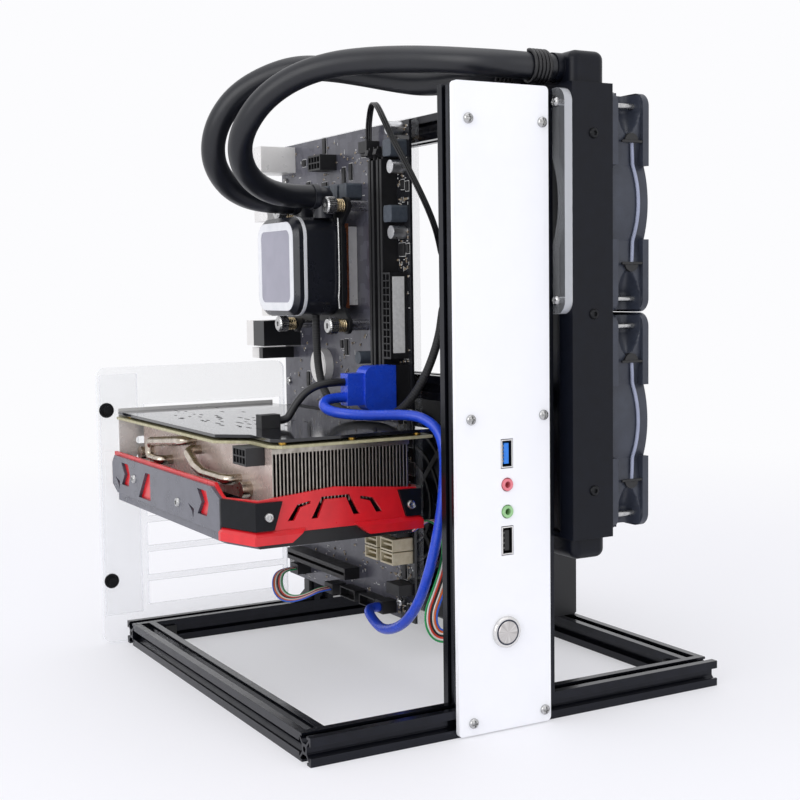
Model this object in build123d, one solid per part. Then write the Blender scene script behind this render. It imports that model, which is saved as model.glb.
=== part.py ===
from build123d import *
import math
import os

# Open air test bench for a computer. Millimetres, +X right, +Y to the rear, +Z up.
# Sizes are measured from the left end and the front face of the front rail, and from the table.

# T-slot extrusion
PROFILE = 15.0
SLOT_OPENING = 6.0
SLOT_LIP = 1.4
SLOT_WIDTH = 9.6
SLOT_SHOULDER = 0.5
SLOT_FLOOR = 4.0
SLOT_DEPTH = 4.6
CORE_BORE = 3.0

# Base, uprights and tray rails
BASE_WIDTH = 268.0
BASE_DEPTH = 288.0
REAR_UPRIGHT_DROP = 2.5
LEFT_UPRIGHT_X = 87.0
RIGHT_UPRIGHT_X = 134.5
MIDDLE_RAIL_DROP = 155.3
CORNER_LEG = 14.0
CORNER_THICKNESS = 2.5
CORNER_WIDTH = 8.0
CORNER_WEB = 4.0

# Pan head screw, one kind all over the bench
SCREW_HEAD_RADIUS = 2.8
SCREW_HEAD_HEIGHT = 2.2
SCREW_SHANK_RADIUS = 1.45
SCREW_LENGTH = 6.5
SCREW_CLEARANCE = 0.25

# Front panel with its ports and push button
PANEL_OVERLAP = 1.5
PANEL_RIGHT_LAP = 10.3
PANEL_THICKNESS = 3.0
PANEL_BOTTOM = 0.8
PANEL_RISE = 0.5
PANEL_CORNER = 2.5
PANEL_SCREW_SHIFT = 1.4
PANEL_MIDDLE_SCREW_Z = 169.6
PANEL_TOP_SCREW_DROP = 18.5
PORT_IN = 30.0
USB_FAST_Z = 150.3
MIC_Z = 133.7
PHONES_Z = 119.2
USB_SLOW_Z = 103.6
USB_SHELL_X = 7.0
USB_SHELL_Z = 15.0
USB_WALL = 0.6
USB_DEPTH = 14.0
USB_TONGUE_X = 1.8
USB_TONGUE_Z = 11.0
USB_TONGUE_DEPTH = 9.0
PORT_CLEARANCE = 0.4
JACK_RADIUS = 3.3
JACK_BORE = 1.75
JACK_PROUD = 0.8
JACK_BODY_Z = 9.0
JACK_BODY_DEPTH = 12.0
JACK_FLOOR = 1.0
IO_BOARD_THICKNESS = 1.6
IO_BOARD_MARGIN = 4.5
IO_BOARD_DEPTH = 26.0
IO_BOARD_GAP = 0.5
BUTTON_IN = 28.5
BUTTON_Z = 54.3
BEZEL_RADIUS = 8.5
BEZEL_HEIGHT = 2.0
BEZEL_FILLET = 0.8
BUTTON_BODY_RADIUS = 7.6
BUTTON_BODY_DEPTH = 18.0
BUTTON_NUT_RADIUS = 10.5
BUTTON_NUT_HEIGHT = 3.5
CAP_RADIUS = 6.1
CAP_LENGTH = 9.0
CAP_PROUD = 0.5
CAP_CHAMFER = 0.3
CAP_TRAVEL = 1.5
CAP_CLEARANCE = 0.08
CAP_ROOM = 0.5

# Motherboard on its clear tray
TRAY_THICKNESS = 3.0
TRAY_FRONT_IN = 7.0
TRAY_LIP = 3.5
TRAY_CORNER = 4.0
TRAY_FRONT_SCREW = 34.0
TRAY_REAR_SCREW = 26.0
STANDOFF_LENGTH = 6.0
STANDOFF_FLATS = 5.0
BOARD_THICKNESS = 1.6
BOARD_OVERHANG = 3.0
BOARD_WIDTH = 182.0
BOARD_RISE = 18.5
BOARD_TOP_DROP = 2.5
BOARD_HEIGHT = 305.0
REAR_COLUMN = 6.35
FRONT_COLUMN = 18.17
REAR_ROWS = (24.7, 165.1)
FRONT_ROWS = (10.16, 165.1)
BOTTOM_ROW = 10.36

# Rear connectors: height, depth and the two drops below the board's top
IO_OVERHANG = 4.0
IO_STACKS = (
    (26.0, 27.0, 2.0, 19.5),
    (20.0, 22.0, 29.5, 52.5),
    (16.0, 17.0, 57.5, 76.5),
    (16.0, 17.0, 80.5, 97.5),
    (16.0, 17.0, 100.5, 118.5),
    (28.0, 30.0, 121.5, 139.0),
    (24.0, 18.0, 140.5, 148.0),
)
IO_SHELL = 0.8
IO_MOUTH = 2.2
IO_MOUTH_DEPTH = 9.0

# Expansion slots
SLOT_PITCH = 20.32
CARD_DROP = 184.5
CARD_SLOT_IN = 109.0
CARD_SLOT_LENGTH = 89.0
SLOT_HEIGHT = 11.0
SLOT_BODY = 7.5
SLOT_GROOVE = 2.0
SLOT_GROOVE_DEPTH = 7.5
SLOT_END = 1.0
SLOT_HEADER_GAP = 1.0
SHORT_SLOT_LENGTH = 25.0

# Memory slots with their latches
MEMORY_IN = (16.0, 26.5)
MEMORY_DROP = 155.5
MEMORY_LENGTH = 133.0
MEMORY_WIDTH = 6.5
MEMORY_HEIGHT = 10.5
MEMORY_GROOVE = 1.8
MEMORY_GROOVE_DEPTH = 6.0
EAR_THICKNESS = 1.0
EAR_LENGTH = 8.0
EAR_STEP = 1.0
LATCH_GAP = 0.25
LATCH_PIN_RADIUS = 1.0
LATCH_PIN_CLEARANCE = 0.05
LATCH_PIN_RISE = 4.6
LATCH_PIN_OUT = 4.0
LATCH_HALF = 2.8
LATCH_FOOT = 2.2
LATCH_REACH = 8.0
LATCH_NOSE = 1.0
LATCH_BROW = 2.2
LATCH_CHIN = 1.1
LATCH_NECK = 4.8

# Power sockets, drive ports, headers and loose parts of the board
PIN_PITCH = 4.2
PIN_HOLE = 3.4
PIN_RIM = 0.8
PIN_DEPTH = 9.0
PIN_SOCKET_HEIGHT = 12.0
MAIN_PINS = 12
MAIN_IN = 4.5
MAIN_DROP = 142.5
CPU_PINS = 4
CPU_POWER_IN = 86.0
CPU_POWER_DROP = 22.5
DRIVE_IN = (2.0, 22.0)
DRIVE_RISE = (37.3, 45.5)
DRIVE_WIDE = 16.0
DRIVE_TALL = 7.6
DRIVE_HEIGHT = 14.0
DRIVE_WALL = 1.2
DRIVE_DEPTH = 8.0
DRIVE_TONGUE = 1.3
HEADER_HEIGHT = 10.0
HEADER_WALL = 0.8
HEADER_WELL = 6.0
BOX_HEADERS_IN = (36.0, 63.0)
BOX_HEADER_WIDE = 21.0
BOX_HEADER_TALL = 7.0
BOX_HEADER_HEIGHT = 9.0
BOX_HEADER_RISE = 2.5
LOW_SOCKET_RISE = 17.5
JUMPER_WIDE = 12.0
JUMPER_FRONT_IN = 93.0
JUMPER_FRONT_RISE = 1.5
JUMPER_REAR_IN = 23.0
JUMPER_REAR_RISE = 5.5
CELL_IN = 65.0
CELL_DROP = 151.5
CELL_RADIUS = 10.0
CELL_HEIGHT = 3.2
CELL_CLEARANCE = 0.2
CELL_HOLDER_RADIUS = 11.5
CELL_HOLDER_HEIGHT = 6.0
CHOKE_SIDE = 10.0
CHOKE_HEIGHT = 11.0
CHOKE_CHAMFER = 1.2
CHOKE_FRONT_IN = 8.0
CHOKE_FRONT_DROPS = (16.5, 55.5)
CHOKE_ROW_IN = (90.0, 103.0, 116.0)
CHOKE_ROW_DROP = 38.5
CAN_RADIUS = 4.0
CAN_HEIGHT = 9.0
CAN_FRONT_DROPS = (27.5, 66.5)
CAN_TOP_IN = 10.0
CAN_TOP_DROP = 4.5
CAN_LOW_IN = 129.0
CAN_LOW_DROP = 143.5

# Processor socket, pump and cold plate
SOCKET_IN = 88.0
SOCKET_DROP = 85.5
SOCKET_SIDE = 50.0
SOCKET_HEIGHT = 7.0
COLD_PLATE_SIDE = 54.0
COLD_PLATE_HEIGHT = 3.0
PUMP_SIDE_Y = 60.0
PUMP_SIDE_Z = 62.0
PUMP_CORNER = 13.0
PUMP_HEIGHT = 29.0
PUMP_CAP_HEIGHT = 7.0
PUMP_BEVEL = 3.0
PUMP_HOLE_SPACING = 75.0
PUMP_PLATE_THICKNESS = 2.5
PUMP_PLATE_RISE = 3.0
PUMP_PLATE_RIM = 4.0
PUMP_PLATE_ARM = 11.0
PUMP_PLATE_CLEARANCE = 0.2
THUMB_RADIUS = 5.2
THUMB_HEIGHT = 7.0
THUMB_SHANK_RADIUS = 2.0
THUMB_SPRING_RADIUS = 3.9
THUMB_SPRING_LENGTH = 6.0
THUMB_POST_RADIUS = 3.5
ELBOW_RADIUS = 6.3
ELBOW_COLLAR_RADIUS = 8.0
ELBOW_COLLAR_LENGTH = 4.0
ELBOW_OUT = 25.0
ELBOW_STEM = 8.5
ELBOW_SINK = 1.0
FRONT_ELBOW = (-25.0, 12.5)
BACK_ELBOW = (4.5, 10.5)
HOSE_DIAMETER = 14.6

# Radiator, its bracket and fans
BRACKET_THICKNESS = 5.0
RADIATOR_FRONT = -11.0
FAN_SIDE = 120.0
RADIATOR_THICKNESS = 27.0
RADIATOR_SHEET = 1.2
RADIATOR_FLANGE = 12.0
CORE_INSET = 2.1
TUBE_COUNT = 12
TUBE_WIDTH = 2.6
FIN_INSET = 1.2
TANK_RIM = 3.0
TANK_INSET = 2.5
TOP_TANK_HEIGHT = 20.5
BOTTOM_TANK_HEIGHT = 14.7
TANK_FILLET = 5.0
PORT_Y = (17.0, 51.0)
PORT_DROP = 8.5
FAN_HOLE_SPACING = 105.0
FAN_HOLE_RADIUS = 2.2
FAN_DEPTH = 25.0
FAN_GAP = 0.4
FAN_FLANGE = 4.0
FAN_EAR = 40.0
FAN_CORNER = 7.5
FAN_RING = 59.0
FAN_BORE = 57.0
FAN_HUB = 20.0
FAN_HUB_DEPTH = 7.0
FAN_STRUT = 4.0
FAN_STRUT_DEPTH = 3.0
FAN_STRUT_ROOT = 0.5
FAN_TIP_GAP = 1.5
FAN_BLADES = 9
FAN_BLADE_PITCH = 32.0
FAN_ROTOR_DEPTH = 15.0
LONG_SCREW_RADIUS = 1.6
LONG_SCREW_HEAD_RADIUS = 3.0
LONG_SCREW_HEAD_HEIGHT = 2.2
LONG_SCREW_BITE = 0.3
BRACKET_HOLE_RADIUS = 54.0

# Fan wheels
SHAFT_RADIUS = 1.5
SHAFT_CLEARANCE = 0.05
SHAFT_LENGTH = 5.0
HUB_GAP = 0.4
BLADE_THICKNESS = 1.5
BLADE_ROOT = 1.0
BLADE_TWIST = 12.0
BLADE_TAPER = 0.72

# Graphics card: board, back plate and fins
CARD_THICKNESS = 1.6
CARD_LENGTH = 222.5
CARD_WIDTH = 114.5
CARD_REAR_GAP = 1.5
CARD_NOTCH_X = 15.5
CARD_NOTCH_Y = 34.0
CARD_NOTCH_SLOPE = 14.0
CARD_EDGE_GAP = 1.9
CARD_TAB = 7.5
CARD_TAB_INSET = 2.0
CARD_TAB_ROOT = 1.0
BACKPLATE_GAP = 1.7
BACKPLATE_THICKNESS = 1.8
BACKPLATE_MARGIN = 1.0
BACKPLATE_POST_RADIUS = 2.3
BACKPLATE_POSTS = (
    (23.5, 6.0), (65.5, 6.0), (107.5, 6.0), (23.5, 116.0), (107.5, 116.0), (7.5, 214.0), (107.5, 214.0),
)
FIN_LEFT_IN = 16.5
FIN_RIGHT_IN = 12.5
FIN_REAR_IN = 6.5
FIN_HEIGHT = 31.9
FIN_BASE = 3.0
FIN_PITCH = 2.2
FIN_THICKNESS = 0.8
CARD_AIR = 0.3

# Heat pipes, placed from the card's front edge and its underside
PIPE_RADIUS = 3.0
PIPE_OUT = 8.5
PIPE_BEND = 4.2
LOOP_PIPE_Y = (120.0, 180.0, 162.0)
LOOP_PIPE_DROPS = (5.7, 11.7, 22.0)
SWAN_PIPE_Y = (112.0, 98.0, 85.0, 50.0)
SWAN_PIPE_DROPS = (10.7, 18.5, 21.5)
PIPE_END_RADIUS = 4.5
PIPE_END_OUT = 6.0
PIPE_ENDS = ((36.0, 25.7), (208.0, 22.2))

# Graphics card: fan plate, red shroud and dark trim
SHROUD_LEFT_OUT = 2.5
SHROUD_RIGHT_IN = 5.0
SHROUD_FRONT_IN = 3.0
SHROUD_REAR_IN = 1.5
SHROUD_WALL = 2.0
SHROUD_CORNER_X = 9.0
SHROUD_CORNER_Y = 27.0
FAN_PLATE_DROP = 54.2
FAN_PLATE_FLOOR = 2.5
FAN_PLATE_RIM = 13.0
CARD_FAN_IN = (55.0, 149.0)
CARD_FAN_BORE = 44.0
CARD_FAN_TIP_GAP = 1.5
CARD_FAN_HUB = 15.5
CARD_FAN_DEPTH = 9.1
CARD_FAN_BLADES = 11
CARD_FAN_PITCH = 28.0
ARM_WIDTH = 5.0
ARM_THICKNESS = 3.0
ARM_BOSS_RADIUS = 8.0
ARM_BOSS_HEIGHT = 8.0
ARM_RISE = 10.0
ARM_FOOT_SETBACK = 1.0
ARM_FOOT = 3.0
SKIRT_DROP = 46.2
SKIRT_HEIGHT = 25.0
BROW_HEIGHT = 22.8
BROW_SIDE_HEIGHT = 17.6
SHOULDER_RUN = 12.0
LIP_OUT = 3.0
LIP_HEIGHT = 7.0
LIP_DROP = 5.3
LIP_SLOPE = 2.4
LEFT_LIP = 28.0
RIGHT_LIP = 36.0
LIP_RAMP = 9.5
VENT_LOW = 6.2
VENT_LEG = 4.0
VENT_BAR = 1.6
SIDE_VENT_LEAN = 6.0
SIDE_VENT_RISE = 8.5
SIDE_VENT_WIDTH = 14.0
SIDE_VENT_IN = 25.4
MIDDLE_VENT_HALF = 15.0
MIDDLE_VENT_LEAN = 6.4
MIDDLE_VENT_RISE = 11.6
TRIM_THICKNESS = 2.0
TRIM_LOW = 1.5
TRIM_HEIGHT = 24.4
TRIM_REAR_CUT = 10.0
CORNER_LOW = 2.3
CORNER_HEIGHT = 15.4
CORNER_LEFT_RUN = 14.0
CORNER_RIGHT_RUN = 17.0
CORNER_LEAN = 5.0
CHEVRON_IN = (43.0, 181.0)
CHEVRON_LOW = 5.0
CHEVRON_HEIGHT = 14.5
CHEVRON_ARM = 14.0
CHEVRON_POINT = 6.5
HOOK_IN = (71.0, 207.0)
HOOK_LENGTH = 8.0
HOOK_HEEL = 5.6
BLAZE_IN = 145.0
BLAZE_FOOT = 22.5
BLAZE_HEAD = 8.5
CARD_BRACKET_THICKNESS = 1.2
CARD_BRACKET_IN = 1.5
CARD_BRACKET_HEIGHT = 44.0
CARD_BRACKET_RISE = 5.5
BRACKET_VENT_LENGTH = 14.0
BRACKET_VENT_HEIGHT = 5.0
BRACKET_VENT_COLUMNS = 5
BRACKET_VENT_PITCH = 19.0
BRACKET_VENT_ROWS = 12.0
BRACKET_VENT_DROP = 6.0
CARD_PINS = 4
CARD_SOCKET_LENGTH = 11.0
CARD_SOCKET_IN = 14.0
CARD_SOCKET_GAP = 0.5

# Power supply
SUPPLY_WIDTH = 86.0
SUPPLY_DEPTH = 148.0
SUPPLY_HEIGHT = 150.0
SUPPLY_REAR_GAP = 1.0
SUPPLY_EDGE = 1.5
SUPPLY_FAN_BORE = 66.0
SUPPLY_FAN_POCKET = 27.0
SUPPLY_FAN_HUB = 22.0
SUPPLY_BOSS_HEIGHT = 9.0
SUPPLY_FAN_BLADES = 7
SUPPLY_FAN_PITCH = 28.0
SUPPLY_ROTOR_DEPTH = 13.0
SUPPLY_TIP_GAP = 2.0
GRILLE_THICKNESS = 1.6
GRILLE_WIRE = 1.8
GRILLE_RINGS = 4
GRILLE_CENTRE = 16.0
GRILLE_LUG = 5.0
INLET_DEPTH = 24.0
INLET_WIDTH = 27.0
INLET_HEIGHT = 18.0
INLET_DROP = 40.0
BLADE_PIN_SPACING = 7.0
BLADE_PIN_WIDTH = 2.0
BLADE_PIN_HEIGHT = 4.0
BLADE_PIN_SHORT = 4.0
ROCKER_WIDTH = 12.0
ROCKER_HEIGHT = 19.0
ROCKER_IN = 18.0
ROCKER_POCKET = 9.0
ROCKER_CLEARANCE = 0.35
ROCKER_PIN_RADIUS = 1.5
ROCKER_PIN_LAP = 2.0
ROCKER_PIN_ROOM = 0.2
ROCKER_PIN_INSET = 2.0
ROCKER_DEPTH = 4.0
ROCKER_PROUD = 2.5
ROCKER_TAPER = 2.0
ROCKER_EDGE = 0.5
ROCKER_CREST = 1.5
ROCKER_DISH = 1.5

# Rear plate
PLATE_WIDTH = 137.0
PLATE_BOARD_GAP = 2.9
PLATE_THICKNESS = 3.0
PLATE_BOTTOM = 1.0
PLATE_RISE = 34.0
PLATE_CORNER = 6.0
WINDOW_WIDTH = 101.5
WINDOW_IN = 3.0
WINDOW_HEIGHT = 16.0
WINDOW_SILL = 2.0
BAR_WIDTH = 26.0
BAR_MARGIN = 3.0
BAR_BOTTOM_IN = 18.0
BAR_TOP_IN = 5.0
CAP_SCREW_RADIUS = 2.75
CAP_SCREW_HEIGHT = 3.0
CAP_SCREW_SHANK = 1.5
CAP_SCREW_ROOM = 1.0
WASHER_RADIUS = 5.0
WASHER_THICKNESS = 0.8
PLATE_SCREW_IN = 6.0
PLATE_SCREW_RISE = 42.5
PLATE_SCREW_DROP = 28.6
RAIL_SCREW_LEFT_IN = 46.0
RAIL_SCREW_RIGHT_IN = 16.0

# Plugs and cables
USB_PLUG_LENGTH = 21.0
USB_BOOT_LENGTH = 11.0
USB_PLUG_Y = 12.0
USB_PLUG_Z = 27.0
USB_PLUG_FILLET = 6.0
USB_BOOT_Z = 19.0
USB_BOOT_Y = 9.0
USB_HEADER_IN = 8.0
USB_HEADER_DROP = 159.5
USB_HEADER_WIDE = 10.0
LEAD_SPREAD = 4.5
USB_CABLE_DIAMETER = 6.0
USB_LEAD_DIAMETER = 4.6
SLEEVE_DIAMETER = 5.0
FAN_LEAD_DIAMETER = 4.0
RIBBON_DIAMETER = 5.0
BEND_SHARE = 0.45
LOOSE_PLUG_LENGTH = 12.0
LOOSE_PLUG_SIDE = 8.0
LOOSE_PLUG_X = 33.5
LOOSE_PLUG_Y = 57.0
FAN_PLUG_IN = 37.0
FAN_PLUG_DROP = 16.5
FAN_PLUG_WIDTH = 11.0
FAN_PLUG_TALL = 7.0
FAN_PLUG_HEIGHT = 9.0
BOTTOM_PLUG_IN = 28.2
BOTTOM_PLUG_RISE = 6.5
BOTTOM_PLUG_WIDE = 10.0
RIBBON_PLUG_IN = 4.0
RIBBON_PLUG_RISE = 57.5
RIBBON_PLUG_WIDE = 7.0
SMALL_PLUG_TALL = 8.0
UPPER_LEAD_DROP = 103.5
LOWER_LEAD_DROP = 135.5

# Places worked out from the sizes above
RIGHT_UPRIGHT_FACE = RIGHT_UPRIGHT_X + PROFILE
BOARD_BOTTOM = PROFILE + BOARD_RISE
BOARD_TOP = BOARD_BOTTOM + BOARD_HEIGHT
REAR_UPRIGHT_TOP = BOARD_TOP + BOARD_TOP_DROP
UPRIGHT_TOP = REAR_UPRIGHT_TOP + REAR_UPRIGHT_DROP
TOP_RAIL_Z = REAR_UPRIGHT_TOP - PROFILE
MIDDLE_RAIL_Z = TOP_RAIL_Z - MIDDLE_RAIL_DROP
REAR_FACE = BASE_DEPTH - PROFILE
PANEL_LEFT = LEFT_UPRIGHT_X - PANEL_OVERLAP
PANEL_RIGHT = RIGHT_UPRIGHT_X + PANEL_RIGHT_LAP
PANEL_TOP = UPRIGHT_TOP + PANEL_RISE
PANEL_SCREW_XS = (LEFT_UPRIGHT_X + PROFILE / 2, RIGHT_UPRIGHT_X + PROFILE / 2 - PANEL_SCREW_SHIFT)
PANEL_SCREW_ZS = (PROFILE / 2, PANEL_MIDDLE_SCREW_Z, UPRIGHT_TOP - PANEL_TOP_SCREW_DROP)
PORT_X = LEFT_UPRIGHT_X + PORT_IN
BUTTON_X = LEFT_UPRIGHT_X + BUTTON_IN
TRAY_LEFT = RIGHT_UPRIGHT_X - TRAY_THICKNESS
BOARD_RIGHT = TRAY_LEFT - STANDOFF_LENGTH
BOARD_FACE = BOARD_RIGHT - BOARD_THICKNESS
BOARD_REAR = BASE_DEPTH + BOARD_OVERHANG
BOARD_FRONT = BOARD_REAR - BOARD_WIDTH
TRAY_FRONT = BOARD_FRONT + TRAY_FRONT_IN
TRAY_SCREW_YS = (TRAY_FRONT + TRAY_FRONT_SCREW, BASE_DEPTH - TRAY_REAR_SCREW)
HEADER_FACE = BOARD_FACE - HEADER_HEIGHT
MEMORY_Y = tuple(BOARD_FRONT + inset for inset in MEMORY_IN)
MEMORY_BOTTOM = BOARD_TOP - MEMORY_DROP
SOCKET_Y = BOARD_REAR - SOCKET_IN
SOCKET_Z = BOARD_TOP - SOCKET_DROP
PUMP_UPPER_SIDE = SOCKET_Z + PUMP_SIDE_Z / 2
PUMP_BASE = BOARD_FACE - SOCKET_HEIGHT - COLD_PLATE_HEIGHT
PUMP_TOP = PUMP_BASE - PUMP_HEIGHT
HOSE_PUMP_X = BOARD_FACE - SOCKET_HEIGHT - ELBOW_OUT
FRONT_ELBOW_Y = SOCKET_Y + FRONT_ELBOW[0]
FRONT_ELBOW_Z = PUMP_UPPER_SIDE + FRONT_ELBOW[1]
BACK_ELBOW_Y = SOCKET_Y + BACK_ELBOW[0]
BACK_ELBOW_Z = PUMP_UPPER_SIDE + BACK_ELBOW[1]
RADIATOR_TOP = UPRIGHT_TOP
RADIATOR_LEFT = RIGHT_UPRIGHT_FACE + BRACKET_THICKNESS
RADIATOR_RIGHT = RADIATOR_LEFT + RADIATOR_THICKNESS
RADIATOR_REAR = RADIATOR_FRONT + FAN_SIDE
RADIATOR_BOTTOM = RADIATOR_TOP - 2 * FAN_SIDE
FAN_Y = (RADIATOR_FRONT + RADIATOR_REAR) / 2
FAN_ZS = (RADIATOR_TOP - FAN_SIDE / 2, RADIATOR_TOP - 1.5 * FAN_SIDE)
FAN_RIGHT = RADIATOR_RIGHT + FAN_DEPTH
HOSE_TANK_X = RADIATOR_LEFT + TANK_INSET - ELBOW_COLLAR_LENGTH
HOSE_TANK_Z = RADIATOR_TOP + TOP_TANK_HEIGHT - PORT_DROP
SLOT_TOP = BOARD_FACE - SLOT_HEIGHT
CARD_SLOT_Y = BOARD_REAR - CARD_SLOT_IN
CARD_Z = BOARD_TOP - CARD_DROP
LOWEST_SLOT_Z = BOARD_BOTTOM + JUMPER_REAR_RISE + BOX_HEADER_TALL + SLOT_HEADER_GAP + SLOT_BODY / 2
LAST_SLOT = int((CARD_Z - LOWEST_SLOT_Z) / SLOT_PITCH)
CARD_RIGHT = SLOT_TOP - CARD_EDGE_GAP
CARD_LEFT = CARD_RIGHT - CARD_WIDTH
CARD_REAR = BASE_DEPTH - CARD_REAR_GAP
CARD_FRONT = CARD_REAR - CARD_LENGTH
CARD_BOTTOM = CARD_Z - CARD_THICKNESS / 2
CARD_TOP = CARD_Z + CARD_THICKNESS / 2
BACKPLATE_TOP = CARD_TOP + BACKPLATE_GAP + BACKPLATE_THICKNESS
SHROUD_LEFT = CARD_LEFT - SHROUD_LEFT_OUT
SHROUD_RIGHT = CARD_RIGHT - SHROUD_RIGHT_IN
SHROUD_FRONT = CARD_FRONT + SHROUD_FRONT_IN
SHROUD_REAR = CARD_REAR - SHROUD_REAR_IN
SHROUD_MIDDLE = (SHROUD_LEFT + SHROUD_RIGHT) / 2
SKIRT_BOTTOM = CARD_BOTTOM - SKIRT_DROP
FAN_PLATE_BOTTOM = CARD_BOTTOM - FAN_PLATE_DROP
CARD_FAN_Y = tuple(SHROUD_FRONT + inset for inset in CARD_FAN_IN)
FIN_LEFT = CARD_LEFT + FIN_LEFT_IN
FIN_RIGHT = CARD_RIGHT - FIN_RIGHT_IN
FIN_FRONT = SHROUD_FRONT + SHROUD_WALL + CARD_AIR
FIN_REAR = CARD_REAR - FIN_REAR_IN
FIN_TOP = CARD_BOTTOM - CARD_AIR
FIN_BOTTOM = FIN_TOP - FIN_HEIGHT
SUPPLY_LEFT = BASE_WIDTH - SUPPLY_WIDTH
SUPPLY_REAR = BASE_DEPTH - SUPPLY_REAR_GAP
SUPPLY_FRONT = SUPPLY_REAR - SUPPLY_DEPTH
SUPPLY_TOP = PROFILE + SUPPLY_HEIGHT
SUPPLY_FAN_Y = SUPPLY_REAR - SUPPLY_DEPTH / 2
SUPPLY_FAN_Z = PROFILE + SUPPLY_HEIGHT / 2
PLATE_RIGHT = BOARD_FACE - PLATE_BOARD_GAP
PLATE_LEFT = PLATE_RIGHT - PLATE_WIDTH
PLATE_TOP = CARD_Z + PLATE_RISE
WINDOW_COUNT = 1 + int((CARD_Z - PROFILE - WINDOW_SILL - WINDOW_HEIGHT / 2) / SLOT_PITCH)
PLATE_SCREW_ZS = (PLATE_BOTTOM + PLATE_SCREW_RISE, PLATE_TOP - PLATE_SCREW_DROP)
RAIL_SCREW_XS = (PLATE_LEFT + RAIL_SCREW_LEFT_IN, PLATE_RIGHT - RAIL_SCREW_RIGHT_IN)
USB_HEADER_Y = BOARD_FRONT + USB_HEADER_IN
USB_HEADER_Z = BOARD_TOP - USB_HEADER_DROP
FAN_PLUG_Y = BOARD_FRONT + FAN_PLUG_IN
FAN_PLUG_Z = BOARD_TOP - FAN_PLUG_DROP
BOTTOM_PLUG_Y = BOARD_FRONT + BOTTOM_PLUG_IN
BOTTOM_PLUG_Z = BOARD_BOTTOM + BOTTOM_PLUG_RISE
RIBBON_PLUG_Y = BOARD_FRONT + RIBBON_PLUG_IN
RIBBON_PLUG_Z = BOARD_BOTTOM + RIBBON_PLUG_RISE
ORIGIN = ((PLATE_LEFT + BASE_WIDTH) / 2, (RADIATOR_FRONT + BOARD_REAR + IO_OVERHANG) / 2, 0)

nodes = {}


def keep(name, *solids):
    """Puts solids into a named node, moved to the part's own origin."""
    pieces = [solid for piece in solids for solid in piece.solids()]
    shift = Location((-ORIGIN[0], -ORIGIN[1], -ORIGIN[2]))
    nodes[name] = Compound([piece.moved(shift) for piece in pieces])


def block(x, y, z):
    """A box between pairs of coordinates."""
    place = Pos((x[0] + x[1]) / 2, (y[0] + y[1]) / 2, (z[0] + z[1]) / 2)
    return place * Box(x[1] - x[0], y[1] - y[0], z[1] - z[0])


def rod_x(y, z, radius, start, stop):
    """A round bar along X."""
    return Pos((start + stop) / 2, y, z) * Rot(0, 90, 0) * Cylinder(radius, abs(stop - start))


def rod_y(x, z, radius, start, stop):
    """A round bar along Y."""
    return Pos(x, (start + stop) / 2, z) * Rot(90, 0, 0) * Cylinder(radius, abs(stop - start))


def rod_z(x, y, radius, start, stop):
    """A round bar along Z."""
    return Pos(x, y, (start + stop) / 2) * Cylinder(radius, abs(stop - start))


def prism_x(sketch, start, stop):
    """A flat outline in Y and Z carried along X."""
    return extrude(Plane.YZ.offset(start) * sketch, amount=stop - start, dir=(1, 0, 0))


def prism_y(sketch, start, stop):
    """A flat outline in X and Z carried along Y."""
    return extrude(Plane.XZ.offset(-start) * sketch, amount=stop - start, dir=(0, 1, 0))


def prism_z(sketch, start, stop):
    """A flat outline in X and Y carried along Z."""
    return extrude(Plane.XY.offset(start) * sketch, amount=stop - start, dir=(0, 0, 1))


def spread(a, b):
    """The four corners of a rectangle that is a by b about the origin."""
    return [(u * a / 2, v * b / 2) for u in (-1, 1) for v in (-1, 1)]


def slot_section():
    """Section of the extrusion: four T-slots, webs to the corners and a core bore."""
    half = PROFILE / 2
    under_lip = half - SLOT_LIP
    shoulder = under_lip - SLOT_SHOULDER
    floor = half - SLOT_DEPTH
    right = [
        (SLOT_OPENING / 2, half + 1),
        (SLOT_OPENING / 2, under_lip),
        (SLOT_WIDTH / 2, under_lip),
        (SLOT_WIDTH / 2, shoulder),
        (SLOT_FLOOR / 2, floor),
    ]
    left = [(-u, v) for u, v in reversed(right)]
    cut = Polygon(*right, *left, align=None)
    section = Rectangle(PROFILE, PROFILE) - Circle(CORE_BORE / 2)
    for turn in range(4):
        section -= Rot(0, 0, 90 * turn) * cut
    return section


SECTION = slot_section()


def rail_x(y, z, start, stop):
    """An extrusion along X, y and z at its lower front edge."""
    return prism_x(Pos(y + PROFILE / 2, z + PROFILE / 2) * SECTION, start, stop)


def rail_y(x, z, start, stop):
    """An extrusion along Y, x and z at its lower left edge."""
    return prism_y(Pos(x + PROFILE / 2, z + PROFILE / 2) * SECTION, start, stop)


def rail_z(x, y, start, stop):
    """An extrusion along Z, x and y at its front left edge."""
    return prism_z(Pos(x + PROFILE / 2, y + PROFILE / 2) * SECTION, start, stop)


def corner_bracket(corner, first, second):
    """A webbed angle whose legs run from the corner along two directions."""
    inner = CORNER_THICKNESS + CORNER_WEB
    outline = Polygon(
        (0, 0),
        (CORNER_LEG, 0),
        (CORNER_LEG, CORNER_THICKNESS),
        (inner, CORNER_THICKNESS),
        (CORNER_THICKNESS, inner),
        (CORNER_THICKNESS, CORNER_LEG),
        (0, CORNER_LEG),
        align=None,
    )
    plane = Plane(origin=corner, x_dir=first, z_dir=Vector(*first).cross(Vector(*second)))
    return extrude(plane * outline, amount=CORNER_WIDTH / 2, both=True)


def pan_screw(seat, direction):
    """A pan head screw seated at a point, with its shank along a direction."""
    plane = Plane(origin=seat, z_dir=direction)
    head = extrude(plane * Circle(SCREW_HEAD_RADIUS), amount=-SCREW_HEAD_HEIGHT)
    return head + extrude(plane * Circle(SCREW_SHANK_RADIUS), amount=SCREW_LENGTH)


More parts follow.
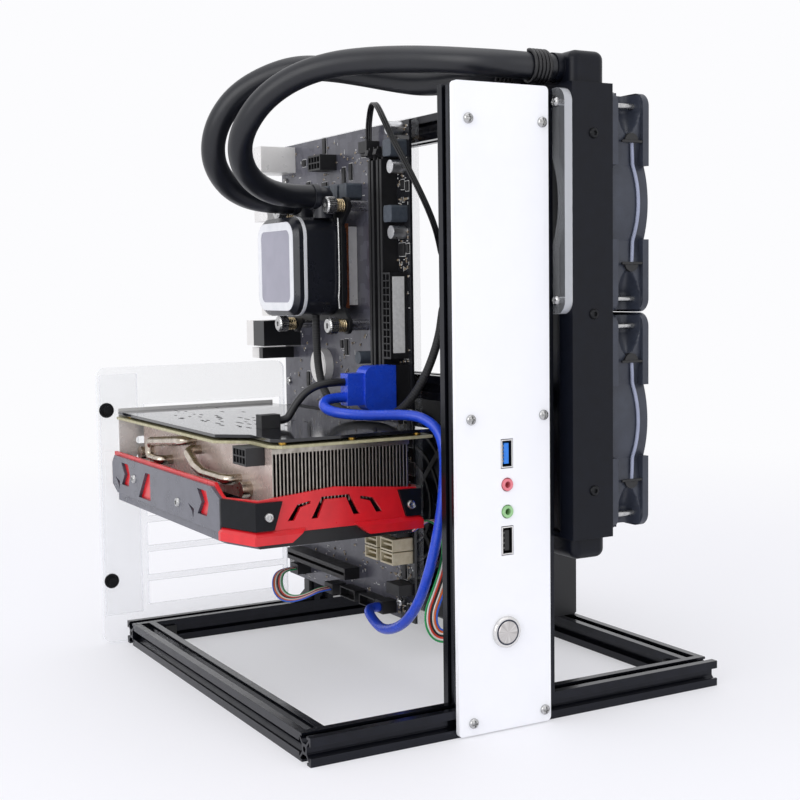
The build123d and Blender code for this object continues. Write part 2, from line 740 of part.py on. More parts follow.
def fan_rotor(hub_radius, depth, tip_radius, blades, pitch, chord):
    """A fan wheel about Z: hub from 0 to its depth, twisted blades and a shaft below the hub."""
    def blade_section(radius, width, angle):
        plane = Plane(origin=(radius, 0, depth / 2), x_dir=(0, 1, 0), z_dir=(1, 0, 0))
        return plane * (Rot(0, 0, angle) * Rectangle(width, BLADE_THICKNESS))

    root = blade_section(hub_radius - BLADE_ROOT, chord * BLADE_TAPER, pitch + BLADE_TWIST)
    tip = blade_section(tip_radius - BLADE_THICKNESS, chord, pitch)
    blade = loft([root, tip], ruled=True)
    wheel = rod_z(0, 0, hub_radius, 0, depth)
    wheel += rod_z(0, 0, SHAFT_RADIUS, -SHAFT_LENGTH, 0)
    wheel += [Rot(0, 0, 360 * i / blades) * blade for i in range(blades)]
    return wheel


def cord(name, diameter, points):
    """A round cord along straight runs joined by the largest tangent arcs that they allow."""
    places = [Vector(*point) for point in points]
    runs = [after - before for before, after in zip(places, places[1:])]
    radii = []
    for before, after in zip(runs, runs[1:]):
        half_turn = math.radians(before.get_angle(after)) / 2
        radii.append(BEND_SHARE * min(before.length, after.length) / math.tan(half_turn))
    path = FilletPolyline(*places, radius=radii)
    tube = sweep(Plane(origin=path @ 0, z_dir=path % 0) * Circle(diameter / 2), path=path)
    print(name, "length", round(path.length))
    keep(name, tube)


def frame():
    """Rails, uprights and the angles that join them."""
    top = PROFILE
    keep("cross_rails", rail_x(0, 0, 0, BASE_WIDTH), rail_x(REAR_FACE, 0, 0, BASE_WIDTH))
    keep("side_rails", *[rail_y(x, 0, PROFILE, REAR_FACE) for x in (0, BASE_WIDTH - PROFILE)])
    fronts = [rail_z(x, 0, top, UPRIGHT_TOP) for x in (LEFT_UPRIGHT_X, RIGHT_UPRIGHT_X)]
    keep("uprights", *fronts, rail_z(RIGHT_UPRIGHT_X, REAR_FACE, top, REAR_UPRIGHT_TOP))
    keep("tray_rails", *[rail_y(RIGHT_UPRIGHT_X, z, PROFILE, REAR_FACE) for z in (TOP_RAIL_Z, MIDDLE_RAIL_Z)])
    middle = PROFILE / 2
    inner_right = BASE_WIDTH - PROFILE
    post = RIGHT_UPRIGHT_X + middle
    to_right, to_left = (1, 0, 0), (-1, 0, 0)
    to_rear, to_front = (0, 1, 0), (0, -1, 0)
    up, down = (0, 0, 1), (0, 0, -1)
    angles = [
        corner_bracket((PROFILE, PROFILE, middle), to_right, to_rear),
        corner_bracket((inner_right, PROFILE, middle), to_left, to_rear),
        corner_bracket((PROFILE, REAR_FACE, middle), to_right, to_front),
        corner_bracket((inner_right, REAR_FACE, middle), to_left, to_front),
        corner_bracket((LEFT_UPRIGHT_X + PROFILE, middle, top), to_right, up),
        corner_bracket((RIGHT_UPRIGHT_X, middle, top), to_left, up),
        corner_bracket((RIGHT_UPRIGHT_X, REAR_FACE + middle, top), to_left, up),
    ]
    for z in (TOP_RAIL_Z, MIDDLE_RAIL_Z):
        angles.append(corner_bracket((post, PROFILE, z), to_rear, down))
        angles.append(corner_bracket((post, REAR_FACE, z), to_front, down))
    keep("corner_brackets", *angles)


def bracket_holes():
    """Places in Y and Z of the radiator bracket's screws, clear of the top tray rail."""
    clear_of_rail = spread(FAN_HOLE_SPACING, FAN_HOLE_SPACING)[:3]
    return [(FAN_Y + u, FAN_ZS[0] + v) for u, v in clear_of_rail]


def board_holes():
    """Places in Y and Z of the motherboard's screws."""
    bottom = BOARD_BOTTOM + BOTTOM_ROW
    rear_zs = [BOARD_TOP - drop for drop in REAR_ROWS] + [bottom]
    front_zs = [BOARD_TOP - drop for drop in FRONT_ROWS] + [bottom]
    rear = [(BOARD_REAR - REAR_COLUMN, z) for z in rear_zs]
    return rear + [(BOARD_FRONT + FRONT_COLUMN, z) for z in front_zs]


def panel_holes():
    """Places in X and Z of the front panel's screws."""
    return [(x, z) for x in PANEL_SCREW_XS for z in PANEL_SCREW_ZS]


def tray_holes():
    """Places in Y and Z of the screws that hold the tray to its rails."""
    rows = (TOP_RAIL_Z + PROFILE / 2, MIDDLE_RAIL_Z + PROFILE / 2)
    return [(y, z) for y in TRAY_SCREW_YS for z in rows]


def screws():
    """Every pan head screw of the bench."""
    away = (0, 1, 0)
    right = (1, 0, 0)
    group = [pan_screw((x, -PANEL_THICKNESS, z), away) for x, z in panel_holes()]
    group += [pan_screw((BOARD_FACE, y, z), right) for y, z in board_holes()]
    group += [pan_screw((TRAY_LEFT, y, z), right) for y, z in tray_holes()]
    group += [pan_screw((RIGHT_UPRIGHT_FACE, y, z), right) for y, z in bracket_holes()]
    keep("pan_screws", *group)


def front_panel():
    """White panel with its ports, their small board and the push button."""
    hole = SCREW_SHANK_RADIUS + SCREW_CLEARANCE
    width = PANEL_RIGHT - PANEL_LEFT
    height = PANEL_TOP - PANEL_BOTTOM
    centre = Pos((PANEL_LEFT + PANEL_RIGHT) / 2, (PANEL_BOTTOM + PANEL_TOP) / 2)
    sheet = centre * RectangleRounded(width, height, PANEL_CORNER)
    sheet -= [Pos(x, z) * Circle(hole) for x, z in panel_holes()]
    window = Rectangle(USB_SHELL_X + 2 * PORT_CLEARANCE, USB_SHELL_Z + 2 * PORT_CLEARANCE)
    sheet -= [Pos(PORT_X, z) * window for z in (USB_FAST_Z, USB_SLOW_Z)]
    sheet -= [Pos(PORT_X, z) * Circle(JACK_RADIUS + PORT_CLEARANCE) for z in (MIC_Z, PHONES_Z)]
    sheet -= Pos(BUTTON_X, BUTTON_Z) * Circle(BUTTON_BODY_RADIUS + PORT_CLEARANCE)
    keep("front_panel", prism_y(sheet, -PANEL_THICKNESS, 0))

    ports = []
    back = USB_DEPTH - PANEL_THICKNESS
    for z in (USB_FAST_Z, USB_SLOW_Z):
        outer = Pos(PORT_X, z) * Rectangle(USB_SHELL_X, USB_SHELL_Z)
        inner = Pos(PORT_X, z) * Rectangle(USB_SHELL_X - 2 * USB_WALL, USB_SHELL_Z - 2 * USB_WALL)
        tongue = Pos(PORT_X - USB_TONGUE_X / 2, z) * Rectangle(USB_TONGUE_X, USB_TONGUE_Z)
        shell = prism_y(outer, -PANEL_THICKNESS, back) - prism_y(inner, -PANEL_THICKNESS, back - USB_WALL)
        ports.append(shell + prism_y(tongue, back - USB_WALL - USB_TONGUE_DEPTH, back))
    for z in (MIC_Z, PHONES_Z):
        nose = -PANEL_THICKNESS - JACK_PROUD
        half = JACK_BODY_Z / 2
        body_x = (PORT_X - JACK_RADIUS, PORT_X + USB_SHELL_X / 2)
        jack = block(body_x, (IO_BOARD_GAP, JACK_BODY_DEPTH), (z - half, z + half))
        jack += rod_y(PORT_X, z, JACK_RADIUS, nose, IO_BOARD_GAP)
        ports.append(jack - rod_y(PORT_X, z, JACK_BORE, nose, JACK_BODY_DEPTH - JACK_FLOOR))
    keep("front_ports", *ports)

    left = PORT_X + USB_SHELL_X / 2
    low = USB_SLOW_Z - USB_SHELL_Z / 2 - IO_BOARD_MARGIN
    high = USB_FAST_Z + USB_SHELL_Z / 2 + IO_BOARD_MARGIN
    keep("io_board", block((left, left + IO_BOARD_THICKNESS), (IO_BOARD_GAP, IO_BOARD_DEPTH), (low, high)))

    face = -PANEL_THICKNESS
    bezel = rod_y(BUTTON_X, BUTTON_Z, BEZEL_RADIUS, face - BEZEL_HEIGHT, face)
    bezel = fillet(bezel.edges().group_by(Axis.Y)[0], BEZEL_FILLET)
    body = rod_y(BUTTON_X, BUTTON_Z, BUTTON_BODY_RADIUS, face, BUTTON_BODY_DEPTH)
    nut_outline = Pos(BUTTON_X, BUTTON_Z) * RegularPolygon(BUTTON_NUT_RADIUS, 6)
    nut = prism_y(nut_outline, 0, BUTTON_NUT_HEIGHT)
    cap_front = face - BEZEL_HEIGHT - CAP_PROUD
    cap_rear = cap_front + CAP_LENGTH
    bore = rod_y(BUTTON_X, BUTTON_Z, CAP_RADIUS + CAP_CLEARANCE, cap_front, cap_rear + CAP_TRAVEL + CAP_ROOM)
    keep("button_housing", bezel + body + nut - bore)
    cap = rod_y(BUTTON_X, BUTTON_Z, CAP_RADIUS, cap_front, cap_rear)
    keep("button_cap", chamfer(cap.edges().group_by(Axis.Y)[0], CAP_CHAMFER))


def memory_latch(slot_y):
    """A memory slot's end latch: a finger on a cross pin between the slot's two ears."""
    wide = MEMORY_WIDTH - 2 * EAR_THICKNESS - 2 * LATCH_GAP
    middle = slot_y + MEMORY_WIDTH / 2
    x_pin = BOARD_FACE - LATCH_PIN_RISE
    z_pin = MEMORY_BOTTOM + MEMORY_LENGTH + LATCH_PIN_OUT
    outline = Polygon(
        (x_pin + LATCH_FOOT, z_pin - LATCH_HALF),
        (x_pin + LATCH_FOOT, z_pin + LATCH_HALF),
        (x_pin - LATCH_REACH, z_pin + LATCH_BROW),
        (x_pin - LATCH_REACH - LATCH_NOSE, z_pin - LATCH_CHIN),
        (x_pin - LATCH_NECK, z_pin - LATCH_HALF),
        align=None,
    )
    finger = prism_y(outline, middle - wide / 2, middle + wide / 2)
    return finger + rod_y(x_pin, z_pin, LATCH_PIN_RADIUS, slot_y, slot_y + MEMORY_WIDTH)


def memory_slot(slot_y):
    """A memory slot with its groove and the two ears that carry the latch."""
    top = BOARD_FACE - MEMORY_HEIGHT
    high = MEMORY_BOTTOM + MEMORY_LENGTH
    middle = slot_y + MEMORY_WIDTH / 2
    x_pin = BOARD_FACE - LATCH_PIN_RISE
    z_pin = high + LATCH_PIN_OUT
    body = block((top, BOARD_FACE), (slot_y, slot_y + MEMORY_WIDTH), (MEMORY_BOTTOM, high))
    groove = (middle - MEMORY_GROOVE / 2, middle + MEMORY_GROOVE / 2)
    body -= block((top, top + MEMORY_GROOVE_DEPTH), groove, (MEMORY_BOTTOM + EAR_THICKNESS, high))
    for start in (slot_y, slot_y + MEMORY_WIDTH - EAR_THICKNESS):
        body += block((top + EAR_STEP, BOARD_FACE), (start, start + EAR_THICKNESS), (high, high + EAR_LENGTH))
    pin_hole = LATCH_PIN_RADIUS + LATCH_PIN_CLEARANCE
    return body - rod_y(x_pin, z_pin, pin_hole, slot_y, slot_y + MEMORY_WIDTH)


def on_board(height, y, z):
    """A plain part of the motherboard that stands off its face."""
    return block((BOARD_FACE - height, BOARD_FACE), y, z)


def walled_socket(height, y, z, wall, depth):
    """A connector housing with an open top."""
    face = BOARD_FACE - height
    inner_y = (y[0] + wall, y[1] - wall)
    inner_z = (z[0] + wall, z[1] - wall)
    return on_board(height, y, z) - block((face, face + depth), inner_y, inner_z)


def drive_port(y, z):
    """A drive port: an open housing with the tongue that carries its contacts."""
    housing = walled_socket(DRIVE_HEIGHT, (y, y + DRIVE_WIDE), (z, z + DRIVE_TALL), DRIVE_WALL, DRIVE_DEPTH)
    middle = z + DRIVE_TALL / 2
    tongue_y = (y + 2 * DRIVE_WALL, y + DRIVE_WIDE - 2 * DRIVE_WALL)
    tongue_x = (BOARD_FACE - DRIVE_HEIGHT + DRIVE_WALL, BOARD_FACE)
    return housing + block(tongue_x, tongue_y, (middle - DRIVE_TONGUE / 2, middle + DRIVE_TONGUE / 2))


def pin_socket(columns, height):
    """A two-row power socket about Z: its base at 0, its pin holes open at the top, its columns along X."""
    wide = PIN_PITCH * columns + 2 * PIN_RIM
    tall = PIN_PITCH * 2 + 2 * PIN_RIM
    holes = GridLocations(PIN_PITCH, PIN_PITCH, columns, 2) * Rectangle(PIN_HOLE, PIN_HOLE)
    body = prism_z(Rectangle(wide, tall), 0, height)
    return body - [prism_z(hole, height - PIN_DEPTH, height) for hole in holes]


def card_slot(z, length):
    """An expansion slot with its groove, its rear end in line with the long ones."""
    rear = CARD_SLOT_Y + CARD_SLOT_LENGTH
    body = on_board(SLOT_HEIGHT, (rear - length, rear), (z - SLOT_BODY / 2, z + SLOT_BODY / 2))
    groove_z = (z - SLOT_GROOVE / 2, z + SLOT_GROOVE / 2)
    groove_y = (rear - length + SLOT_END, rear - SLOT_END)
    return body - block((SLOT_TOP, SLOT_TOP + SLOT_GROOVE_DEPTH), groove_y, groove_z)


def rear_connector(height, depth, drop_high, drop_low):
    """A rear connector: a shell with a plug recess at the rear, filled but for the groove round its core."""
    rear = BOARD_REAR + IO_OVERHANG
    z = (BOARD_TOP - drop_low, BOARD_TOP - drop_high)
    shell = on_board(height, (rear - depth, rear), z)
    rim = IO_SHELL + IO_MOUTH

    def recess(margin):
        inside_x = (BOARD_FACE - height + margin, BOARD_FACE - margin)
        return block(inside_x, (rear - IO_MOUTH_DEPTH, rear), (z[0] + margin, z[1] - margin))

    return shell - (recess(IO_SHELL) - recess(rim))


def motherboard():
    """Tray, standoffs, circuit board and what is soldered to it."""
    tray_bottom = BOARD_BOTTOM - TRAY_LIP
    tray = RectangleRounded(BASE_DEPTH - TRAY_FRONT, REAR_UPRIGHT_TOP - tray_bottom, TRAY_CORNER)
    tray = Pos((TRAY_FRONT + BASE_DEPTH) / 2, (tray_bottom + REAR_UPRIGHT_TOP) / 2) * tray
    hole = SCREW_SHANK_RADIUS + SCREW_CLEARANCE
    tray -= [Pos(y, z) * Circle(hole) for y, z in tray_holes()]
    keep("board_tray", prism_x(tray, TRAY_LEFT, RIGHT_UPRIGHT_X))
    hexagon = RegularPolygon(STANDOFF_FLATS / 2, 6, major_radius=False) - Circle(hole)
    keep("standoffs", *[prism_x(Pos(y, z) * hexagon, BOARD_RIGHT, TRAY_LEFT) for y, z in board_holes()])
    outline = Rectangle(BOARD_WIDTH, BOARD_HEIGHT)
    outline = Pos(BOARD_REAR - BOARD_WIDTH / 2, BOARD_TOP - BOARD_HEIGHT / 2) * outline
    outline -= [Pos(y, z) * Circle(hole) for y, z in board_holes()]
    keep("motherboard", prism_x(outline, BOARD_FACE, BOARD_RIGHT))
    keep("io_ports", *[rear_connector(*stack) for stack in IO_STACKS])

    half = SOCKET_SIDE / 2
    socket_y = (SOCKET_Y - half, SOCKET_Y + half)
    keep("cpu_socket", on_board(SOCKET_HEIGHT, socket_y, (SOCKET_Z - half, SOCKET_Z + half)))
    keep("dimm_slots", *[memory_slot(y) for y in MEMORY_Y])
    keep("dimm_latch_front", memory_latch(MEMORY_Y[0]))
    keep("dimm_latch_rear", memory_latch(MEMORY_Y[1]))
    keep("board_sockets", *power_sockets(), *drive_ports(), *headers())

    long_slots = [card_slot(CARD_Z - SLOT_PITCH * i, CARD_SLOT_LENGTH) for i in (0, LAST_SLOT)]
    short_slots = [card_slot(CARD_Z - SLOT_PITCH * i, SHORT_SLOT_LENGTH) for i in (2, LAST_SLOT - 1)]
    keep("pcie_slots", *long_slots, *short_slots)

    cell_y = BOARD_REAR - CELL_IN
    cell_z = BOARD_TOP - CELL_DROP
    rim = BOARD_FACE - CELL_HOLDER_HEIGHT
    bed = rim + CELL_HEIGHT - CELL_CLEARANCE
    holder = rod_x(cell_y, cell_z, CELL_HOLDER_RADIUS, rim, BOARD_FACE)
    holder -= rod_x(cell_y, cell_z, CELL_RADIUS + CELL_CLEARANCE, rim, bed)
    keep("coin_cell", holder, rod_x(cell_y, cell_z, CELL_RADIUS, bed - CELL_HEIGHT, bed))

    front = BOARD_FRONT + CHOKE_FRONT_IN
    places = [(front, BOARD_TOP - drop) for drop in CHOKE_FRONT_DROPS]
    places += [(BOARD_REAR - inset, BOARD_TOP - CHOKE_ROW_DROP) for inset in CHOKE_ROW_IN]
    reach = CHOKE_SIDE / 2
    chokes = []
    for y, z in places:
        cube = on_board(CHOKE_HEIGHT, (y - reach, y + reach), (z - reach, z + reach))
        chokes.append(chamfer(cube.edges().filter_by(Axis.X), CHOKE_CHAMFER))
    cans = [(front, BOARD_TOP - drop) for drop in CAN_FRONT_DROPS]
    cans.append((BOARD_FRONT + CAN_TOP_IN, BOARD_TOP - CAN_TOP_DROP))
    cans.append((BOARD_REAR - CAN_LOW_IN, BOARD_TOP - CAN_LOW_DROP))
    cylinders = [rod_x(y, z, CAN_RADIUS, BOARD_FACE - CAN_HEIGHT, BOARD_FACE) for y, z in cans]
    keep("power_parts", *chokes, *cylinders)


def power_sockets():
    """The board's main and processor power sockets."""
    tall = PIN_PITCH * 2 + 2 * PIN_RIM
    outward = Plane(origin=(BOARD_FACE, 0, 0), x_dir=(0, 1, 0), z_dir=(-1, 0, 0))
    main_z = BOARD_TOP - MAIN_DROP + PIN_PITCH * MAIN_PINS / 2 + PIN_RIM
    main = outward.location * Pos(BOARD_FRONT + MAIN_IN + tall / 2, -main_z) * Rot(0, 0, 90)
    cpu_y = BOARD_REAR - CPU_POWER_IN + PIN_PITCH * CPU_PINS / 2 + PIN_RIM
    cpu = outward.location * Pos(cpu_y, -(BOARD_TOP - CPU_POWER_DROP + tall / 2))
    return [main * pin_socket(MAIN_PINS, PIN_SOCKET_HEIGHT), cpu * pin_socket(CPU_PINS, PIN_SOCKET_HEIGHT)]


def drive_ports():
    """Four drive ports in two rows."""
    return [drive_port(BOARD_FRONT + inset, BOARD_BOTTOM + rise) for inset in DRIVE_IN for rise in DRIVE_RISE]


def headers():
    """Pin headers along the board's edges and the plugs that sit on them."""
    def plug(y, wide, z, tall, height=HEADER_HEIGHT):
        return on_board(height, (y, y + wide), (z, z + tall))

    small = SMALL_PLUG_TALL / 2
    rear_jumper_y = BOARD_REAR - JUMPER_REAR_IN - JUMPER_WIDE
    group = [
        plug(BOARD_FRONT + DRIVE_IN[0], DRIVE_WIDE, BOARD_BOTTOM + LOW_SOCKET_RISE, BOX_HEADER_TALL),
        plug(RIBBON_PLUG_Y, RIBBON_PLUG_WIDE, RIBBON_PLUG_Z - small, SMALL_PLUG_TALL),
        plug(BOTTOM_PLUG_Y - BOTTOM_PLUG_WIDE / 2, BOTTOM_PLUG_WIDE, BOTTOM_PLUG_Z - small, SMALL_PLUG_TALL),
        plug(FAN_PLUG_Y, FAN_PLUG_WIDTH, FAN_PLUG_Z, FAN_PLUG_TALL, FAN_PLUG_HEIGHT),
        plug(BOARD_FRONT + JUMPER_FRONT_IN, JUMPER_WIDE, BOARD_BOTTOM + JUMPER_FRONT_RISE, BOX_HEADER_TALL),
        plug(rear_jumper_y, JUMPER_WIDE, BOARD_BOTTOM + JUMPER_REAR_RISE, BOX_HEADER_TALL),
        plug(USB_HEADER_Y - USB_HEADER_WIDE / 2, USB_HEADER_WIDE, USB_HEADER_Z - USB_PLUG_Z / 2, USB_PLUG_Z),
    ]
    low = BOARD_BOTTOM + BOX_HEADER_RISE
    box_z = (low, low + BOX_HEADER_TALL)
    for inset in BOX_HEADERS_IN:
        y = BOARD_FRONT + inset
        box_y = (y, y + BOX_HEADER_WIDE)
        group.append(walled_socket(BOX_HEADER_HEIGHT, box_y, box_z, HEADER_WALL, HEADER_WELL))
    return group


def rounded_square(extra, corner):
    """The pump's outline, grown on each side."""
    outline = RectangleRounded(PUMP_SIDE_Y + 2 * extra, PUMP_SIDE_Z + 2 * extra, corner)
    return Pos(SOCKET_Y, SOCKET_Z) * outline


def pump_elbow(y, z):
    """A swivel elbow on the pump's upper side, with the collar that a hose pushes on to."""
    x = HOSE_PUMP_X + ELBOW_STEM
    end = HOSE_PUMP_X + ELBOW_COLLAR_LENGTH
    stem = rod_z(x, y, ELBOW_RADIUS, PUMP_UPPER_SIDE - ELBOW_SINK, z)
    knuckle = Pos(x, y, z) * Sphere(ELBOW_RADIUS)
    collar = rod_x(y, z, ELBOW_COLLAR_RADIUS, HOSE_PUMP_X, end)
    return stem + knuckle + rod_x(y, z, ELBOW_RADIUS, end, x) + collar


def cooler_block():
    """Cold plate, pump, its cap and the sprung bracket."""
    half = COLD_PLATE_SIDE / 2
    plate_x = (PUMP_BASE, PUMP_BASE + COLD_PLATE_HEIGHT)
    keep("cold_plate", block(plate_x, (SOCKET_Y - half, SOCKET_Y + half), (SOCKET_Z - half, SOCKET_Z + half)))
    body = prism_x(rounded_square(0, PUMP_CORNER), PUMP_TOP, PUMP_BASE)
    body += pump_elbow(FRONT_ELBOW_Y, FRONT_ELBOW_Z)
    body += pump_elbow(BACK_ELBOW_Y, BACK_ELBOW_Z)
    keep("pump_body", body)
    cap = prism_x(rounded_square(0, PUMP_CORNER), PUMP_TOP - PUMP_CAP_HEIGHT, PUMP_TOP)
    keep("pump_cap", chamfer(cap.edges().group_by(Axis.X)[0], PUMP_BEVEL))

    far = PUMP_BASE - PUMP_PLATE_RISE
    near = far - PUMP_PLATE_THICKNESS
    corners = [(SOCKET_Y + u, SOCKET_Z + v) for u, v in spread(PUMP_HOLE_SPACING, PUMP_HOLE_SPACING)]
    reach = PUMP_HOLE_SPACING * math.sqrt(2)
    outline = rounded_square(PUMP_PLATE_RIM, PUMP_CORNER)
    for turn in (45, -45):
        outline += Pos(SOCKET_Y, SOCKET_Z) * Rot(0, 0, turn) * SlotCenterToCenter(reach, PUMP_PLATE_ARM)
    outline -= rounded_square(PUMP_PLATE_CLEARANCE, PUMP_CORNER)
    outline -= [Pos(y, z) * Circle(THUMB_SHANK_RADIUS + SCREW_CLEARANCE) for y, z in corners]
    keep("pump_bracket", prism_x(outline, near, far))
    thumbs = []
    for y, z in corners:
        spring = near - THUMB_SPRING_LENGTH
        thumb = rod_x(y, z, THUMB_RADIUS, spring - THUMB_HEIGHT, spring)
        thumb += rod_x(y, z, THUMB_SPRING_RADIUS, spring, near)
        thumb += rod_x(y, z, THUMB_SHANK_RADIUS, near, far)
        thumbs.append(thumb + rod_x(y, z, THUMB_POST_RADIUS, far, BOARD_FACE))
    keep("pump_screws", *thumbs)


def radiator():
    """Clear bracket, radiator with its tanks, and the two fans."""
    hole = SCREW_SHANK_RADIUS + SCREW_CLEARANCE
    sheet = Pos(FAN_Y, FAN_ZS[0]) * RectangleRounded(FAN_SIDE, FAN_SIDE, FAN_CORNER)
    sheet -= Pos(FAN_Y, FAN_ZS[0]) * Circle(BRACKET_HOLE_RADIUS)
    sheet -= [Pos(y, z) * Circle(hole) for y, z in bracket_holes()]
    keep("radiator_bracket", prism_x(sheet, RIGHT_UPRIGHT_FACE, RADIATOR_LEFT))

    def channel(outer, inner, lip):
        outline = Polygon(
            (RADIATOR_LEFT, outer),
            (RADIATOR_RIGHT, outer),
            (RADIATOR_RIGHT, lip),
            (RADIATOR_RIGHT - RADIATOR_SHEET, lip),
            (RADIATOR_RIGHT - RADIATOR_SHEET, inner),
            (RADIATOR_LEFT + RADIATOR_SHEET, inner),
            (RADIATOR_LEFT + RADIATOR_SHEET, lip),
            (RADIATOR_LEFT, lip),
            align=None,
        )
        return prism_z(outline, RADIATOR_BOTTOM, RADIATOR_TOP)

    def tank(rim, dome):
        rim_y = (RADIATOR_FRONT, RADIATOR_REAR)
        plate = block((RADIATOR_LEFT, RADIATOR_RIGHT), rim_y, rim)
        dome_x = (RADIATOR_LEFT + TANK_INSET, RADIATOR_RIGHT - TANK_INSET)
        dome_y = (RADIATOR_FRONT + TANK_INSET, RADIATOR_REAR - TANK_INSET)
        body = block(dome_x, dome_y, (min(dome), max(dome)))
        crown = body.edges().group_by(Axis.Z)[-1 if dome[1] > dome[0] else 0]
        uprights = body.edges().filter_by(Axis.Z)
        return plate + fillet(crown + uprights, TANK_FILLET)

    rim_top = RADIATOR_TOP + TANK_RIM
    rim_low = RADIATOR_BOTTOM - TANK_RIM
    front = (RADIATOR_FRONT, RADIATOR_FRONT + RADIATOR_SHEET, RADIATOR_FRONT + RADIATOR_FLANGE)
    rear = (RADIATOR_REAR, RADIATOR_REAR - RADIATOR_SHEET, RADIATOR_REAR - RADIATOR_FLANGE)
    shell = channel(*front) + channel(*rear)
    shell += tank((RADIATOR_TOP, rim_top), (rim_top, RADIATOR_TOP + TOP_TANK_HEIGHT))
    shell += tank((rim_low, RADIATOR_BOTTOM), (rim_low, RADIATOR_BOTTOM - BOTTOM_TANK_HEIGHT))
    for y in PORT_Y:
        inside = RADIATOR_LEFT + 2 * TANK_INSET
        shell += rod_x(RADIATOR_FRONT + y, HOSE_TANK_Z, ELBOW_COLLAR_RADIUS, HOSE_TANK_X, inside)
    for z in FAN_ZS:
        for u, v in spread(FAN_HOLE_SPACING, FAN_HOLE_SPACING):
            shell -= rod_x(FAN_Y + u, z + v, hole, RADIATOR_RIGHT - RADIATOR_SHEET, RADIATOR_RIGHT)
    for y, z in bracket_holes():
        shell -= rod_x(y, z, hole, RADIATOR_LEFT, RADIATOR_LEFT + RADIATOR_SHEET)
    keep("radiator_frame", shell)

    core_front = RADIATOR_FRONT + RADIATOR_SHEET
    core_width = FAN_SIDE - 2 * RADIATOR_SHEET
    core = block(
        (RADIATOR_LEFT + CORE_INSET + FIN_INSET, RADIATOR_RIGHT - CORE_INSET - FIN_INSET),
        (core_front, core_front + core_width),
        (RADIATOR_BOTTOM, RADIATOR_TOP),
    )
    pitch = core_width / TUBE_COUNT
    for i in range(TUBE_COUNT):
        start = core_front + pitch * (i + 0.5) - TUBE_WIDTH / 2
        core += block(
            (RADIATOR_LEFT + CORE_INSET, RADIATOR_RIGHT - CORE_INSET),
            (start, start + TUBE_WIDTH),
            (RADIATOR_BOTTOM, RADIATOR_TOP),
        )
    keep("radiator_core", core)
    keep("fan_frames", *[fan_frame(z) for z in FAN_ZS])
    rotor_x = RADIATOR_RIGHT + FAN_HUB_DEPTH + HUB_GAP
    chord = (FAN_ROTOR_DEPTH - BLADE_THICKNESS) / math.sin(math.radians(FAN_BLADE_PITCH))
    wheel = Rot(0, 90, 0) * fan_rotor(
        FAN_HUB, FAN_ROTOR_DEPTH, FAN_BORE - FAN_TIP_GAP, FAN_BLADES, FAN_BLADE_PITCH, chord
    )
    keep("fan_rotor_upper", Pos(rotor_x, FAN_Y, FAN_ZS[0]) * wheel)
    keep("fan_rotor_lower", Pos(rotor_x, FAN_Y, FAN_ZS[1]) * wheel)
    long_screws = []
    for z in FAN_ZS:
        for u, v in spread(FAN_HOLE_SPACING, FAN_HOLE_SPACING):
            tip = RADIATOR_RIGHT - RADIATOR_SHEET - LONG_SCREW_BITE
            shank = rod_x(FAN_Y + u, z + v, LONG_SCREW_RADIUS, tip, FAN_RIGHT)
            head_end = FAN_RIGHT + LONG_SCREW_HEAD_HEIGHT
            long_screws.append(shank + rod_x(FAN_Y + u, z + v, LONG_SCREW_HEAD_RADIUS, FAN_RIGHT, head_end))
    keep("fan_screws", *long_screws)


def fan_frame(z):
    """A fan housing: ring, two lobed flanges, and the struts that carry its motor."""
    side = FAN_SIDE - FAN_GAP
    ears = RectangleRounded(side, side, FAN_CORNER) - Rectangle(side, FAN_EAR) - Rectangle(FAN_EAR, side)
    flange = Circle(FAN_RING) + ears - Circle(FAN_BORE)
    flange -= [Pos(u, v) * Circle(FAN_HOLE_RADIUS) for u, v in spread(FAN_HOLE_SPACING, FAN_HOLE_SPACING)]
    ring = Circle(FAN_RING) - Circle(FAN_BORE)
    place = Pos(FAN_Y, z)
    near = RADIATOR_RIGHT
    body = prism_x(place * flange, near, near + FAN_FLANGE)
    body += prism_x(place * ring, near, FAN_RIGHT)
    body += prism_x(place * flange, FAN_RIGHT - FAN_FLANGE, FAN_RIGHT)
    span = 2 * (FAN_BORE + FAN_STRUT_ROOT)
    spokes = Rectangle(span, FAN_STRUT) + Rectangle(FAN_STRUT, span)
    body += prism_x(place * (Rot(0, 0, 45) * spokes), near, near + FAN_STRUT_DEPTH)
    body += rod_x(FAN_Y, z, FAN_HUB, near, near + FAN_HUB_DEPTH)
    bore = SHAFT_RADIUS + SHAFT_CLEARANCE
    return body - rod_x(FAN_Y, z, bore, near + FAN_HUB_DEPTH - SHAFT_LENGTH, near + FAN_HUB_DEPTH)


def card_outline(margin):
    """The card's outline in X and Y, drawn in by a margin, with its cut front left corner."""
    notch = CARD_LEFT + CARD_NOTCH_X + margin
    notch_end = CARD_FRONT + CARD_NOTCH_Y
    return Polygon(
        (CARD_LEFT + margin, CARD_REAR - margin),
        (CARD_LEFT + margin, notch_end + CARD_NOTCH_SLOPE),
        (notch, notch_end),
        (notch, CARD_FRONT + CARD_NOTCH_SLOPE / 2),
        (notch + CARD_NOTCH_SLOPE / 3, CARD_FRONT + margin),
        (CARD_RIGHT - margin, CARD_FRONT + margin),
        (CARD_RIGHT - margin, CARD_REAR - margin),
        align=None,
    )


def shroud_outline(grow):
    """The shroud's outline in X and Y with its two cut front corners."""
    left = SHROUD_LEFT - grow
    right = SHROUD_RIGHT + grow
    front = SHROUD_FRONT - grow
    return Polygon(
        (left, SHROUD_REAR),
        (left, front + SHROUD_CORNER_Y),
        (left + SHROUD_CORNER_X, front),
        (right - SHROUD_CORNER_X / 2, front),
        (right, front + SHROUD_CORNER_X),
        (right, SHROUD_REAR),
        align=None,
    )


